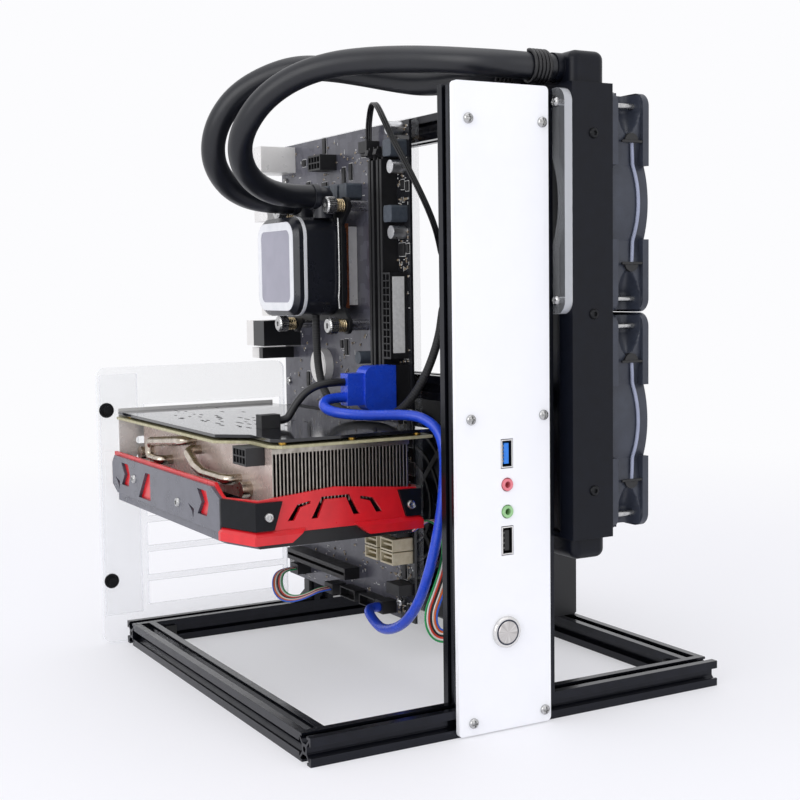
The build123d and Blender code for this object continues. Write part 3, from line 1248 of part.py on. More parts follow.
def card_fins():
    """The fin stack under the card's board."""
    comb = Pos((FIN_LEFT + FIN_RIGHT) / 2, FIN_TOP - FIN_BASE / 2) * Rectangle(FIN_RIGHT - FIN_LEFT, FIN_BASE)
    count = int((FIN_RIGHT - FIN_LEFT - FIN_THICKNESS) / FIN_PITCH) + 1
    fin = Rectangle(FIN_THICKNESS, FIN_HEIGHT)
    middle = (FIN_TOP + FIN_BOTTOM) / 2
    comb += [Pos(FIN_LEFT + FIN_THICKNESS / 2 + FIN_PITCH * i, middle) * fin for i in range(count)]
    return prism_y(comb, FIN_FRONT, FIN_REAR)


def card_pipes():
    """The looped and the swan-necked heat pipe on the fins' left side, and two capped pipe ends."""
    outer = FIN_LEFT - PIPE_OUT
    root, bend, back = [CARD_FRONT + y for y in LOOP_PIPE_Y]
    high, middle, low = [CARD_BOTTOM - drop for drop in LOOP_PIPE_DROPS]
    loop = [(FIN_LEFT, root, high), (outer, root, high), (outer, bend, middle)]
    loop += [(outer, bend, low), (outer, back, low), (FIN_LEFT, back, low)]
    neck, knee, run, end = [CARD_FRONT + y for y in SWAN_PIPE_Y]
    high, middle, low = [CARD_BOTTOM - drop for drop in SWAN_PIPE_DROPS]
    swan = [(FIN_LEFT, neck, high), (outer, neck, high), (outer, knee, middle)]
    swan += [(outer, run, low), (outer, end, low), (FIN_LEFT, end, low)]
    pipes = []
    for points in (loop, swan):
        path = FilletPolyline(*points, radius=PIPE_BEND)
        pipes.append(sweep(Plane(origin=path @ 0, z_dir=path % 0) * Circle(PIPE_RADIUS), path=path))
    end = FIN_LEFT - PIPE_END_OUT
    for y, drop in PIPE_ENDS:
        pipes.append(rod_x(CARD_FRONT + y, CARD_BOTTOM - drop, PIPE_END_RADIUS, end, FIN_LEFT))
    return pipes


def fan_plate():
    """The card's fan plate: a tray with two openings and the spiders that carry the fans."""
    floor_top = FAN_PLATE_BOTTOM + FAN_PLATE_FLOOR
    rim_top = FAN_PLATE_BOTTOM + FAN_PLATE_RIM
    plate = prism_z(shroud_outline(-SHROUD_WALL), FAN_PLATE_BOTTOM, rim_top)
    plate -= prism_z(shroud_outline(-2 * SHROUD_WALL), floor_top, rim_top)
    arm_low = FAN_PLATE_BOTTOM + ARM_RISE
    arm_high = arm_low + ARM_THICKNESS
    foot_near = CARD_FAN_BORE + ARM_FOOT_SETBACK
    foot_far = foot_near + ARM_FOOT
    half = ARM_WIDTH / 2
    for y in CARD_FAN_Y:
        plate -= rod_z(SHROUD_MIDDLE, y, CARD_FAN_BORE, FAN_PLATE_BOTTOM, floor_top)
        spider = rod_z(0, 0, ARM_BOSS_RADIUS, arm_low, arm_low + ARM_BOSS_HEIGHT)
        for turn in (0, 120, 240):
            arm = block((0, foot_far), (-half, half), (arm_low, arm_high))
            foot = block((foot_near, foot_far), (-half, half), (floor_top, arm_high))
            spider += Rot(0, 0, turn) * (arm + foot)
        spider -= rod_z(0, 0, SHAFT_RADIUS + SHAFT_CLEARANCE, arm_low, arm_low + SHAFT_LENGTH)
        plate += Pos(SHROUD_MIDDLE, y, 0) * spider
    return plate


def side_vent(side):
    """The bent slot beside the middle of the shroud's front, left or right of it."""
    low = SKIRT_BOTTOM + VENT_LOW
    high = low + SIDE_VENT_RISE
    outer = SIDE_VENT_IN
    knee = outer - SIDE_VENT_LEAN
    end = outer - SIDE_VENT_WIDTH
    shape = [(outer, low), (outer - VENT_LEG, low), (knee - VENT_LEG / 2, high - VENT_BAR)]
    shape += [(end, high), (end, high + VENT_BAR), (knee, high)]
    return Polygon(*[(SHROUD_MIDDLE + side * (u + VENT_LEG), v) for u, v in shape], align=None)


def middle_vent():
    """The arched slot round the raised middle of the shroud's front."""
    low = SKIRT_BOTTOM + VENT_LOW
    high = low + MIDDLE_VENT_RISE
    foot = MIDDLE_VENT_HALF
    head = foot - MIDDLE_VENT_LEAN
    outer = [(-foot, low), (-head, high), (head, high), (foot, low)]
    inner = [(foot - VENT_LEG, low), (head - VENT_LEG / 2, high - VENT_BAR)]
    inner += [(VENT_LEG / 2 - head, high - VENT_BAR), (VENT_LEG - foot, low)]
    return Polygon(*[(SHROUD_MIDDLE + u, v) for u, v in outer + inner], align=None)


def shroud_lip(start, stop, ramp):
    """A flared lip under the shroud's front between two places in X, with a ramp at its inner end."""
    low = SKIRT_BOTTOM - LIP_DROP
    high = low + LIP_HEIGHT
    ring = prism_z(shroud_outline(LIP_OUT), low, high)
    ring = chamfer(ring.edges().group_by(Axis.Z)[-1], LIP_SLOPE)
    ring -= prism_z(shroud_outline(-SHROUD_WALL), low, high)
    side = Polygon((start, low), (stop, low), (stop + ramp, high), (start, high), align=None)
    return ring & prism_y(side, SHROUD_FRONT - LIP_OUT, SHROUD_FRONT + SHROUD_CORNER_Y)


def red_shroud():
    """The red skirt: walls with a raised brow and shoulder, vents through its front and two lips."""
    top = SKIRT_BOTTOM + SKIRT_HEIGHT
    skirt = prism_z(shroud_outline(0) - shroud_outline(-SHROUD_WALL), SKIRT_BOTTOM, top)
    side = SKIRT_BOTTOM + BROW_SIDE_HEIGHT
    brow = SKIRT_BOTTOM + BROW_HEIGHT
    shoulder = SHROUD_FRONT + SHROUD_CORNER_Y
    left = SHROUD_LEFT - SHROUD_WALL
    right = SHROUD_RIGHT + SHROUD_WALL
    above = Polygon((left, side), (SHROUD_MIDDLE, brow), (right, side), (right, top), (left, top), align=None)
    skirt -= prism_y(above, SHROUD_FRONT, shoulder)
    ramp = Polygon((shoulder, side), (shoulder + SHOULDER_RUN, top), (shoulder, top), align=None)
    skirt -= prism_x(ramp, left, SHROUD_MIDDLE)
    skirt -= block((SHROUD_MIDDLE, right), (shoulder, SHROUD_REAR), (side, top))
    front = (SHROUD_FRONT, SHROUD_FRONT + SHROUD_WALL)
    for slot in (side_vent(-1), middle_vent(), side_vent(1)):
        skirt -= prism_y(slot, *front)
    skirt += shroud_lip(SHROUD_LEFT - LIP_OUT, SHROUD_LEFT + LEFT_LIP, LIP_RAMP)
    skirt += shroud_lip(SHROUD_RIGHT + LIP_OUT, SHROUD_RIGHT - RIGHT_LIP, -LIP_RAMP)
    return skirt


def chevron(y):
    """A pointed cut-out of the side plate, y at its rear end."""
    low = SKIRT_BOTTOM + CHEVRON_LOW
    high = low + CHEVRON_HEIGHT
    middle = (low + high) / 2
    outline = [(y, high), (y - CHEVRON_ARM, high), (y - CHEVRON_ARM - CHEVRON_POINT / 2, middle)]
    outline += [(y - CHEVRON_ARM, low), (y, low), (y - CHEVRON_POINT, middle)]
    return Polygon(*outline, align=None)


def side_plate():
    """The dark plate on the shroud's left side with its chevrons, hooks and slanted blaze."""
    low = SKIRT_BOTTOM - TRIM_LOW
    high = low + TRIM_HEIGHT
    front = SHROUD_FRONT + SHROUD_CORNER_Y
    corner = SKIRT_BOTTOM + CORNER_LOW + CORNER_HEIGHT
    outline = Polygon(
        (front, low),
        (front, corner),
        (front + SHOULDER_RUN, high),
        (SHROUD_REAR - TRIM_REAR_CUT / 2, high),
        (SHROUD_REAR, high - TRIM_REAR_CUT / 2),
        (SHROUD_REAR, low + TRIM_REAR_CUT / 2),
        (SHROUD_REAR - TRIM_REAR_CUT, low),
        align=None,
    )
    outline -= [chevron(CARD_FRONT + inset + CHEVRON_ARM + CHEVRON_POINT) for inset in CHEVRON_IN]
    for inset in HOOK_IN:
        y = CARD_FRONT + inset
        base = low + CHEVRON_LOW / 2
        hook = [(y, base), (y + VENT_BAR, base + HOOK_LENGTH / 2), (y + HOOK_LENGTH, base + HOOK_LENGTH)]
        outline -= Polygon(*hook, (y - VENT_BAR, base + HOOK_HEEL), align=None)
    start = CARD_FRONT + BLAZE_IN
    foot = low + CHEVRON_LOW / 2
    crest = foot + CHEVRON_HEIGHT + CHEVRON_LOW / 2
    blaze = [(start, foot), (start + BLAZE_FOOT, foot), (start + BLAZE_HEAD, crest), (start, crest)]
    outline -= Polygon(*blaze, align=None)
    return prism_x(outline, SHROUD_LEFT - TRIM_THICKNESS, SHROUD_LEFT)


def corner_pieces():
    """The dark pieces round the shroud's two front corners, with slanted ends."""
    low = SKIRT_BOTTOM + CORNER_LOW
    high = low + CORNER_HEIGHT
    ring = prism_z(shroud_outline(TRIM_THICKNESS) - shroud_outline(0), low, high)
    near = SHROUD_FRONT - TRIM_THICKNESS
    far = SHROUD_FRONT + SHROUD_CORNER_Y
    left = SHROUD_LEFT + SHROUD_CORNER_X
    left_end = left + CORNER_LEFT_RUN
    outside = SHROUD_LEFT - TRIM_THICKNESS
    left_cut = [(outside, low), (left_end - CORNER_LEAN, low), (left_end, high), (outside, high)]
    right_end = SHROUD_RIGHT - CORNER_RIGHT_RUN
    outside = SHROUD_RIGHT + TRIM_THICKNESS
    right_cut = [(outside, low), (right_end + CORNER_LEAN, low), (right_end, high), (outside, high)]
    cuts = (left_cut, right_cut)
    return [ring & prism_y(Polygon(*cut, align=None), near, far) for cut in cuts]


def card_bracket():
    """The steel bracket at the card's rear with its rows of vents."""
    top = CARD_TOP + CARD_BRACKET_RISE
    bracket_z = (top - CARD_BRACKET_HEIGHT, top)
    bracket_y = (BASE_DEPTH - CARD_BRACKET_THICKNESS, BASE_DEPTH)
    left = CARD_LEFT + CARD_BRACKET_IN
    bracket = block((left, CARD_RIGHT), bracket_y, bracket_z)
    middle = Pos((left + CARD_RIGHT) / 2, sum(bracket_z) / 2 - BRACKET_VENT_DROP)
    vent = SlotOverall(BRACKET_VENT_LENGTH, BRACKET_VENT_HEIGHT)
    vents = GridLocations(BRACKET_VENT_PITCH, BRACKET_VENT_ROWS, BRACKET_VENT_COLUMNS, 2) * vent
    return bracket - [prism_y(middle * slot, *bracket_y) for slot in vents]


def card_power_socket():
    """The card's power socket, its pin holes open to the left."""
    wide = PIN_PITCH * CARD_PINS + 2 * PIN_RIM
    tall = PIN_PITCH * 2 + 2 * PIN_RIM
    base = (FIN_LEFT - CARD_SOCKET_GAP, CARD_FRONT + CARD_SOCKET_IN + wide / 2, CARD_BOTTOM - tall / 2)
    outward = Plane(origin=base, x_dir=(0, 1, 0), z_dir=(-1, 0, 0))
    return outward.location * pin_socket(CARD_PINS, CARD_SOCKET_LENGTH)


def graphics_card():
    """Circuit board, back plate, fins, heat pipes, shroud, trim and the two fans."""
    board = prism_z(card_outline(0), CARD_BOTTOM, CARD_TOP)
    tab_y = (CARD_SLOT_Y + CARD_TAB_INSET, CARD_SLOT_Y + CARD_SLOT_LENGTH - CARD_TAB_INSET)
    board += block((CARD_RIGHT - CARD_TAB_ROOT, CARD_RIGHT + CARD_TAB), tab_y, (CARD_BOTTOM, CARD_TOP))
    keep("gpu_board", board)
    under = BACKPLATE_TOP - BACKPLATE_THICKNESS
    plate = prism_z(card_outline(BACKPLATE_MARGIN), under, BACKPLATE_TOP)
    for x, y in BACKPLATE_POSTS:
        plate += rod_z(CARD_LEFT + x, CARD_FRONT + y, BACKPLATE_POST_RADIUS, CARD_TOP, under)
    keep("gpu_backplate", plate)
    keep("gpu_fins", card_fins())
    keep("gpu_heat_pipes", *card_pipes())
    keep("gpu_shroud", red_shroud())
    keep("gpu_trim", side_plate(), *corner_pieces(), fan_plate())
    keep("gpu_bracket", card_bracket())
    keep("gpu_power_socket", card_power_socket())

    tip = CARD_FAN_BORE - CARD_FAN_TIP_GAP
    chord = (CARD_FAN_DEPTH - BLADE_THICKNESS) / math.sin(math.radians(CARD_FAN_PITCH))
    wheel = fan_rotor(CARD_FAN_HUB, CARD_FAN_DEPTH, tip, CARD_FAN_BLADES, CARD_FAN_PITCH, chord)
    hung = Rot(180, 0, 0) * wheel
    hub = FAN_PLATE_BOTTOM + ARM_RISE - HUB_GAP
    keep("gpu_rotor_front", Pos(SHROUD_MIDDLE, CARD_FAN_Y[0], hub) * hung)
    keep("gpu_rotor_rear", Pos(SHROUD_MIDDLE, CARD_FAN_Y[1], hub) * hung)


def power_supply():
    """Steel case with its fan, wire grille, mains inlet and rocker switch."""
    case = block((SUPPLY_LEFT, BASE_WIDTH), (SUPPLY_FRONT, SUPPLY_REAR), (PROFILE, SUPPLY_TOP))
    case = chamfer(case.edges().filter_by(Axis.Y), SUPPLY_EDGE)
    floor = SUPPLY_LEFT + SUPPLY_FAN_POCKET
    case -= rod_x(SUPPLY_FAN_Y, SUPPLY_FAN_Z, SUPPLY_FAN_BORE, SUPPLY_LEFT, floor)
    boss = floor - SUPPLY_BOSS_HEIGHT
    case += rod_x(SUPPLY_FAN_Y, SUPPLY_FAN_Z, SUPPLY_FAN_HUB, boss, floor)
    case -= rod_x(SUPPLY_FAN_Y, SUPPLY_FAN_Z, SHAFT_RADIUS + SHAFT_CLEARANCE, boss, boss + SHAFT_LENGTH)
    inlet_x = SUPPLY_LEFT + SUPPLY_WIDTH / 2
    inlet_low = SUPPLY_TOP - INLET_DROP
    inlet_z = (inlet_low, inlet_low + INLET_HEIGHT)
    inlet_y = (SUPPLY_REAR - INLET_DEPTH, SUPPLY_REAR)
    case -= block((inlet_x - INLET_WIDTH / 2, inlet_x + INLET_WIDTH / 2), inlet_y, inlet_z)
    pin_middle = sum(inlet_z) / 2
    pin_z = (pin_middle - BLADE_PIN_HEIGHT / 2, pin_middle + BLADE_PIN_HEIGHT / 2)
    for offset in (-BLADE_PIN_SPACING, 0, BLADE_PIN_SPACING):
        pin_x = (inlet_x + offset - BLADE_PIN_WIDTH / 2, inlet_x + offset + BLADE_PIN_WIDTH / 2)
        case += block(pin_x, (inlet_y[0], SUPPLY_REAR - BLADE_PIN_SHORT), pin_z)
    switch_x = BASE_WIDTH - ROCKER_IN
    pocket_x = ROCKER_WIDTH / 2 + ROCKER_CLEARANCE
    pocket_z = ROCKER_HEIGHT / 2 + 2 * ROCKER_CLEARANCE
    case -= block(
        (switch_x - pocket_x, switch_x + pocket_x),
        (SUPPLY_REAR - ROCKER_POCKET, SUPPLY_REAR),
        (pin_middle - pocket_z, pin_middle + pocket_z),
    )
    pin_y = SUPPLY_REAR - ROCKER_PIN_INSET
    pin_half = ROCKER_WIDTH / 2 + ROCKER_PIN_LAP
    pin_hole = ROCKER_PIN_RADIUS + SHAFT_CLEARANCE
    case -= rod_x(pin_y, pin_middle, pin_hole, switch_x - pin_half, switch_x + pin_half)
    keep("psu_case", case)
    half = ROCKER_HEIGHT / 2
    crest = SUPPLY_REAR + ROCKER_PROUD
    upper = [
        (pin_y - ROCKER_DEPTH, half - ROCKER_TAPER),
        (SUPPLY_REAR, half - ROCKER_EDGE),
        (crest, half - ROCKER_CREST),
    ]
    lower = [(y, -z) for y, z in reversed(upper)]
    points = upper + [(crest - ROCKER_DISH, 0)] + lower
    rocker_outline = Polygon(*[(y, pin_middle + z) for y, z in points], align=None)
    rocker = prism_x(rocker_outline, switch_x - ROCKER_WIDTH / 2, switch_x + ROCKER_WIDTH / 2)
    pin_half -= ROCKER_PIN_ROOM
    rocker += rod_x(pin_y, pin_middle, ROCKER_PIN_RADIUS, switch_x - pin_half, switch_x + pin_half)
    keep("psu_switch", rocker)

    rings = Circle(GRILLE_CENTRE)
    step = (SUPPLY_FAN_BORE - GRILLE_CENTRE) / GRILLE_RINGS
    for i in range(GRILLE_RINGS):
        radius = GRILLE_CENTRE + step * (i + 1) - GRILLE_WIRE
        rings += Circle(radius + GRILLE_WIRE) - Circle(radius)
    reach = 2 * (SUPPLY_FAN_BORE + GRILLE_LUG)
    bars = Rectangle(reach, GRILLE_WIRE * 2) + Rectangle(GRILLE_WIRE * 2, reach)
    rings += Rot(0, 0, 45) * bars
    lugs = [Pos(u, v) * Circle(GRILLE_LUG) for u, v in spread(reach / math.sqrt(2), reach / math.sqrt(2))]
    grille = Pos(SUPPLY_FAN_Y, SUPPLY_FAN_Z) * (rings + lugs)
    keep("psu_grille", prism_x(grille, SUPPLY_LEFT - GRILLE_THICKNESS, SUPPLY_LEFT))
    tip = SUPPLY_FAN_BORE - SUPPLY_TIP_GAP
    chord = (SUPPLY_ROTOR_DEPTH - BLADE_THICKNESS) / math.sin(math.radians(SUPPLY_FAN_PITCH))
    wheel = fan_rotor(SUPPLY_FAN_HUB, SUPPLY_ROTOR_DEPTH, tip, SUPPLY_FAN_BLADES, SUPPLY_FAN_PITCH, chord)
    keep("psu_rotor", Pos(boss - HUB_GAP, SUPPLY_FAN_Y, SUPPLY_FAN_Z) * Rot(0, -90, 0) * wheel)


def rear_plate():
    """Clear plate with slot windows, the bar that card brackets screw to, and its screws."""
    height = PLATE_TOP - PLATE_BOTTOM
    middle = Pos((PLATE_LEFT + PLATE_RIGHT) / 2, (PLATE_BOTTOM + PLATE_TOP) / 2)
    sheet = middle * RectangleRounded(PLATE_WIDTH, height, PLATE_CORNER)
    window = Rectangle(WINDOW_WIDTH, WINDOW_HEIGHT)
    window_x = PLATE_RIGHT - WINDOW_IN - WINDOW_WIDTH / 2
    sheet -= [Pos(window_x, CARD_Z - SLOT_PITCH * i) * window for i in range(WINDOW_COUNT)]
    hole = CAP_SCREW_SHANK + SCREW_CLEARANCE
    screw_x = PLATE_LEFT + PLATE_SCREW_IN
    bar_holes = [Pos(screw_x, z) * Circle(hole) for z in PLATE_SCREW_ZS]
    sheet -= bar_holes
    sheet -= [Pos(x, PROFILE / 2) * Circle(hole) for x in RAIL_SCREW_XS]
    back = BASE_DEPTH + PLATE_THICKNESS
    bar_low = PLATE_BOTTOM + BAR_BOTTOM_IN
    bar_high = PLATE_TOP - BAR_TOP_IN
    bar = Rectangle(BAR_WIDTH, bar_high - bar_low)
    bar = Pos(PLATE_LEFT + BAR_MARGIN + BAR_WIDTH / 2, (bar_low + bar_high) / 2) * bar
    bar -= bar_holes
    keep("rear_plate", prism_y(sheet, BASE_DEPTH, back), prism_y(bar, back, back + PLATE_THICKNESS))

    group = []
    for z in PLATE_SCREW_ZS:
        seat = BASE_DEPTH - WASHER_THICKNESS
        screw = rod_y(screw_x, z, CAP_SCREW_RADIUS, seat - CAP_SCREW_HEIGHT, seat)
        screw += rod_y(screw_x, z, WASHER_RADIUS, seat, BASE_DEPTH)
        group.append(screw + rod_y(screw_x, z, CAP_SCREW_SHANK, BASE_DEPTH, back + PLATE_THICKNESS))
    for x in RAIL_SCREW_XS:
        screw = rod_y(x, PROFILE / 2, CAP_SCREW_RADIUS, back + WASHER_THICKNESS, back + CAP_SCREW_HEIGHT)
        screw += rod_y(x, PROFILE / 2, WASHER_RADIUS, back, back + WASHER_THICKNESS)
        tip = BASE_DEPTH - SLOT_DEPTH + CAP_SCREW_ROOM
        group.append(screw + rod_y(x, PROFILE / 2, CAP_SCREW_SHANK, tip, back))
    keep("plate_screws", *group)


def cables():
    """Hoses, leads and ribbons, with the plugs on them."""
    boot = HEADER_FACE - USB_PLUG_LENGTH
    tail = boot - USB_BOOT_LENGTH

    def stub(x, y, z):
        y_span = (USB_HEADER_Y - y / 2, USB_HEADER_Y + y / 2)
        return block(x, y_span, (USB_HEADER_Z - z / 2, USB_HEADER_Z + z / 2))

    body = stub((boot, HEADER_FACE), USB_PLUG_Y, USB_PLUG_Z)
    body = fillet(body.edges().filter_by(Axis.Y).group_by(Axis.X)[0], USB_PLUG_FILLET)
    plug = body + stub((tail, boot), USB_BOOT_Y, USB_BOOT_Z)
    loose_x = (CARD_LEFT + LOOSE_PLUG_X, CARD_LEFT + LOOSE_PLUG_X + LOOSE_PLUG_LENGTH)
    loose_y = (CARD_FRONT + LOOSE_PLUG_Y, CARD_FRONT + LOOSE_PLUG_Y + LOOSE_PLUG_SIDE)
    keep("plugs", plug, block(loose_x, loose_y, (BACKPLATE_TOP, BACKPLATE_TOP + LOOSE_PLUG_SIDE)))

    front_port = RADIATOR_FRONT + PORT_Y[0]
    back_port = RADIATOR_FRONT + PORT_Y[1]
    cord("hose_front", HOSE_DIAMETER, [
        (HOSE_TANK_X, front_port, HOSE_TANK_Z), (138.5, front_port, HOSE_TANK_Z), (124, 9.5, 356.2),
        (111.5, 18, 357.5), (101.5, 33, 360), (91, 53, 362.8), (79, 76, 364.8), (66, 96.5, 364.5),
        (51.5, 114, 359.2), (39, 128, 348.5), (32.5, 140, 335), (32.3, 150, 323.5), (37.5, 159, 313),
        (47, 166.5, 304.5), (60, 173, 299), (76, FRONT_ELBOW_Y, FRONT_ELBOW_Z),
        (HOSE_PUMP_X, FRONT_ELBOW_Y, FRONT_ELBOW_Z),
    ])
    cord("hose_back", HOSE_DIAMETER, [
        (HOSE_TANK_X, back_port, HOSE_TANK_Z), (138.5, back_port, HOSE_TANK_Z), (127, 46, 354.2),
        (118.5, 58, 353), (112, 74, 354), (105, 92, 358), (95, 110, 363), (82, 127, 367.5), (67, 142.5, 369.5),
        (52.5, 155.5, 364.5), (39.5, 166, 355.5), (31.5, 174, 343.5), (28.5, 181, 330.5), (30.5, 187, 318.5),
        (37, 193, 309.5), (46.5, 199, 302), (59.5, 204.5, 297), (75.5, BACK_ELBOW_Y, BACK_ELBOW_Z),
        (HOSE_PUMP_X, BACK_ELBOW_Y, BACK_ELBOW_Z),
    ])
    low = USB_HEADER_Z - LEAD_SPREAD
    high = USB_HEADER_Z + LEAD_SPREAD
    cord("usb_cable", USB_CABLE_DIAMETER, [
        (tail, USB_HEADER_Y, low), (72, USB_HEADER_Y, low), (64.5, 111.5, 171.5), (63.5, 101.5, 168.5),
        (70, 91.5, 166.8), (82, 84.5, 166), (95, 78, 166.3), (106, 68.5, 165.5), (111.5, 58, 158.5),
        (112, 52.5, 146), (111, 51, 128), (110.5, 51.5, 108), (110.8, 52, 88), (110.5, 57, 70), (109, 67, 54.5),
        (106.5, 80, 42.5), (104.5, 95, 35.5), (103.5, 109, 33), (103.3, 120, 34.8), (103.2, 128, 37.6),
        (104.6, 133.5, 39.3), (108.2, BOTTOM_PLUG_Y, BOTTOM_PLUG_Z),
        (HEADER_FACE, BOTTOM_PLUG_Y, BOTTOM_PLUG_Z),
    ])
    lead_y = sum(loose_y) / 2
    lead_z = BACKPLATE_TOP + LOOSE_PLUG_SIDE / 2
    cord("usb_lead", USB_LEAD_DIAMETER, [
        (tail, USB_HEADER_Y, high), (74, USB_HEADER_Y, high), (65.5, 118.5, 182.5), (58.5, 121, 178.5),
        (53.5, 123.5, 172), (50.2, 124.6, 166.2), (47.5, lead_y, lead_z), (loose_x[1], lead_y, lead_z),
    ])
    leads()


def leads():
    """The sleeved pump lead, the flat fan lead and the two ribbons."""
    pump_under = SOCKET_Z - PUMP_SIDE_Z / 2
    ear_x = RADIATOR_RIGHT + FAN_FLANGE / 2
    ear_y = RADIATOR_REAR - FAN_GAP / 2
    sleeve_x = RADIATOR_RIGHT + SLEEVE_DIAMETER / 2 + CARD_AIR
    upper_z = RADIATOR_TOP - UPPER_LEAD_DROP
    lower_z = RADIATOR_TOP - LOWER_LEAD_DROP
    cord("sleeved_lead", SLEEVE_DIAMETER, [
        (99, 189, pump_under), (99, 189, 211), (98, 186, 199), (96, 180, 187.5), (94, 171, 177),
        (94, 160, 168.5),
        (96.5, 148, 163.5), (100, 136, 161.2), (103.5, 124, 160.9), (107, 112.5, 161.3), (111.5, 103, 165.5),
        (117, 96, 174.5), (122.5, 91.5, 186), (127.5, 89.5, 199), (132.5, 91, 211), (137.5, 96.5, 220.5),
        (143.5, 105, 226), (151, 114.5, 227.5), (160.5, 121, 226), (170.5, 123.5, 221.5), (178.5, 121.5, 215.5),
        (sleeve_x, 116, lower_z), (sleeve_x, ear_y, lower_z),
    ])
    plug_x = BOARD_FACE - FAN_PLUG_HEIGHT / 2
    plug_y = FAN_PLUG_Y + FAN_PLUG_WIDTH / 2
    plug_z = FAN_PLUG_Z + FAN_PLUG_TALL
    cord("fan_lead", FAN_LEAD_DIAMETER, [
        (plug_x, plug_y, plug_z), (plug_x, plug_y, 337), (118.5, 148, 344.5), (116, 141, 349.5),
        (113, 132, 350.5),
        (110.8, 123, 346.5), (110.3, 115, 338), (112, 108, 326.5), (116, 101.5, 313.5), (120.5, 96, 300),
        (125.5, 92.5, 287), (131, 92.5, 275), (136.5, 97, 265.5), (142.5, 105, 259.5), (150, 113.5, 256.5),
        (159, 120, 254.5), (168.5, 123, 251), (177.5, 121.5, 246), (ear_x, 116, upper_z),
        (ear_x, ear_y, upper_z),
    ])
    cord("ribbon_cable", RIBBON_DIAMETER, [
        (BUTTON_X, BUTTON_BODY_DEPTH, BUTTON_Z), (BUTTON_X, 27, BUTTON_Z), (115, 35.5, 51.5),
        (112.5, 42.5, 47),
        (109.3, 47.5, 46), (107.8, 50, 51.5), (110, 51, 59.5), (115, 52.5, 67.5), (120, 56.5, 77),
        (123, 63, 87.5),
        (123.6, 72, 97.5), (122.3, 82, 102.5), (119.8, 90, 101.5), (117.8, 97.5, 96.5),
        (117, 105, RIBBON_PLUG_Z),
        (117, RIBBON_PLUG_Y, RIBBON_PLUG_Z),
    ])
    cord("jumper_ribbon", RIBBON_DIAMETER, [
        (HEADER_FACE, 262, 42.5), (106.5, 262, 42.5), (99.5, 257.5, 40.5), (94.5, 249, 36), (92, 239, 31.8),
        (93, 229.5, 29.9), (96.5, 220.5, 31), (101.5, 213, 34.5), (107, 208, 38.5), (HEADER_FACE, 208, 38.5),
    ])


frame()
screws()
front_panel()
motherboard()
cooler_block()
radiator()
graphics_card()
power_supply()
rear_plate()
cables()

os.makedirs("parts", exist_ok=True)
for name, shape in nodes.items():
    export_step(shape, f"parts/{name}.step")
print(len(nodes), "nodes")
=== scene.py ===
"""Dresses the open air test bench: finishes for every piece, fine parts of the boards, hoses and cables."""
import logging
import math
from collections.abc import Callable
from dataclasses import dataclass, field
from enum import Enum

import bmesh
import bpy
import numpy as np
from mathutils import Matrix, Vector
from mathutils.bvhtree import BVHTree


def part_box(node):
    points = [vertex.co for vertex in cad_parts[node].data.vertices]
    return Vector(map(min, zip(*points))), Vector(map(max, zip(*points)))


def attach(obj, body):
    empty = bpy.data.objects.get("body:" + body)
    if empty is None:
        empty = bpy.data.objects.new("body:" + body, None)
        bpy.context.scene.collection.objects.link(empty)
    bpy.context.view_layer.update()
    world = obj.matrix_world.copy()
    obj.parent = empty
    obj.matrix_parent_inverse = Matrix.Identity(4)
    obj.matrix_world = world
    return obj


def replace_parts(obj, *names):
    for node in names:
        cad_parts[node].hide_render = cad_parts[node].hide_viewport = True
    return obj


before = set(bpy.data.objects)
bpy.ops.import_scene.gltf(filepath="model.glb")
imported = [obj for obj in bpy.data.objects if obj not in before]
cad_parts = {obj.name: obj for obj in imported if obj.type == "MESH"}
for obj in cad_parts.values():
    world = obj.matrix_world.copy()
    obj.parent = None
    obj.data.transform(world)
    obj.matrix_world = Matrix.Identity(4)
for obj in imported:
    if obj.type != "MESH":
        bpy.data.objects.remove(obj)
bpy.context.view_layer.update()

LOG = logging.getLogger("test_bench")
MM = 0.001
BENCH = "bench"
# Drawing places are in millimetres from the left end and front face of the front rail.
DRAWING_ORIGIN = np.array([126.0, 142.0, 0.0])
SEED = 7
# Points closer than this are merged into one.
MERGE_MM = 0.0005
# Steps round a quarter turn of a band, and between two points of a route.
CORNER_STEPS = 12
SPLINE_STEPS = 8
# Middles of the front panel's two square ports and of its push button.
PORT_X = 117.0
FAST_PORT_Z = 150.3
SLOW_PORT_Z = 103.6
BUTTON_X = 115.5
BUTTON_Z = 54.3

Pair = tuple[float, float]
Point = tuple[float, float, float]


class Axis(Enum):
    """A direction of the bench, as the order that turns (across, beside, along) into X, Y, Z."""

    X = (2, 0, 1)
    Y = (1, 2, 0)
    Z = (0, 1, 2)

    def turn(self, local: np.ndarray) -> np.ndarray:
        """Points given across, beside and along this direction, as X, Y and Z."""
        return local[..., list(self.value)]


class Blend(Enum):
    """How a colour ramp passes from one stop to the next."""

    SMOOTH = "LINEAR"
    STEPPED = "CONSTANT"


class Bend(Enum):
    """How easily a cord bends."""

    STIFF = "stiff"
    MEDIUM = "medium"
    LIMP = "limp"


def at(points: np.ndarray | list | tuple) -> np.ndarray:
    """Turns drawing millimetres into metres in the bench's own frame."""
    return (np.asarray(points, dtype=float) - DRAWING_ORIGIN) * MM


def linear(colour: str) -> tuple[float, float, float, float]:
    """Turns an sRGB hex colour into linear light, by the standard's own curve.

    Args:
        colour: Six hex digits after a hash.

    Returns:
        Red, green, blue and full alpha.
    """
    srgb = np.array([int(colour[i:i + 2], 16) for i in (1, 3, 5)]) / 255
    light = np.where(srgb <= 0.04045, srgb / 12.92, ((srgb + 0.055) / 1.055) ** 2.4)
    return (*light.tolist(), 1.0)


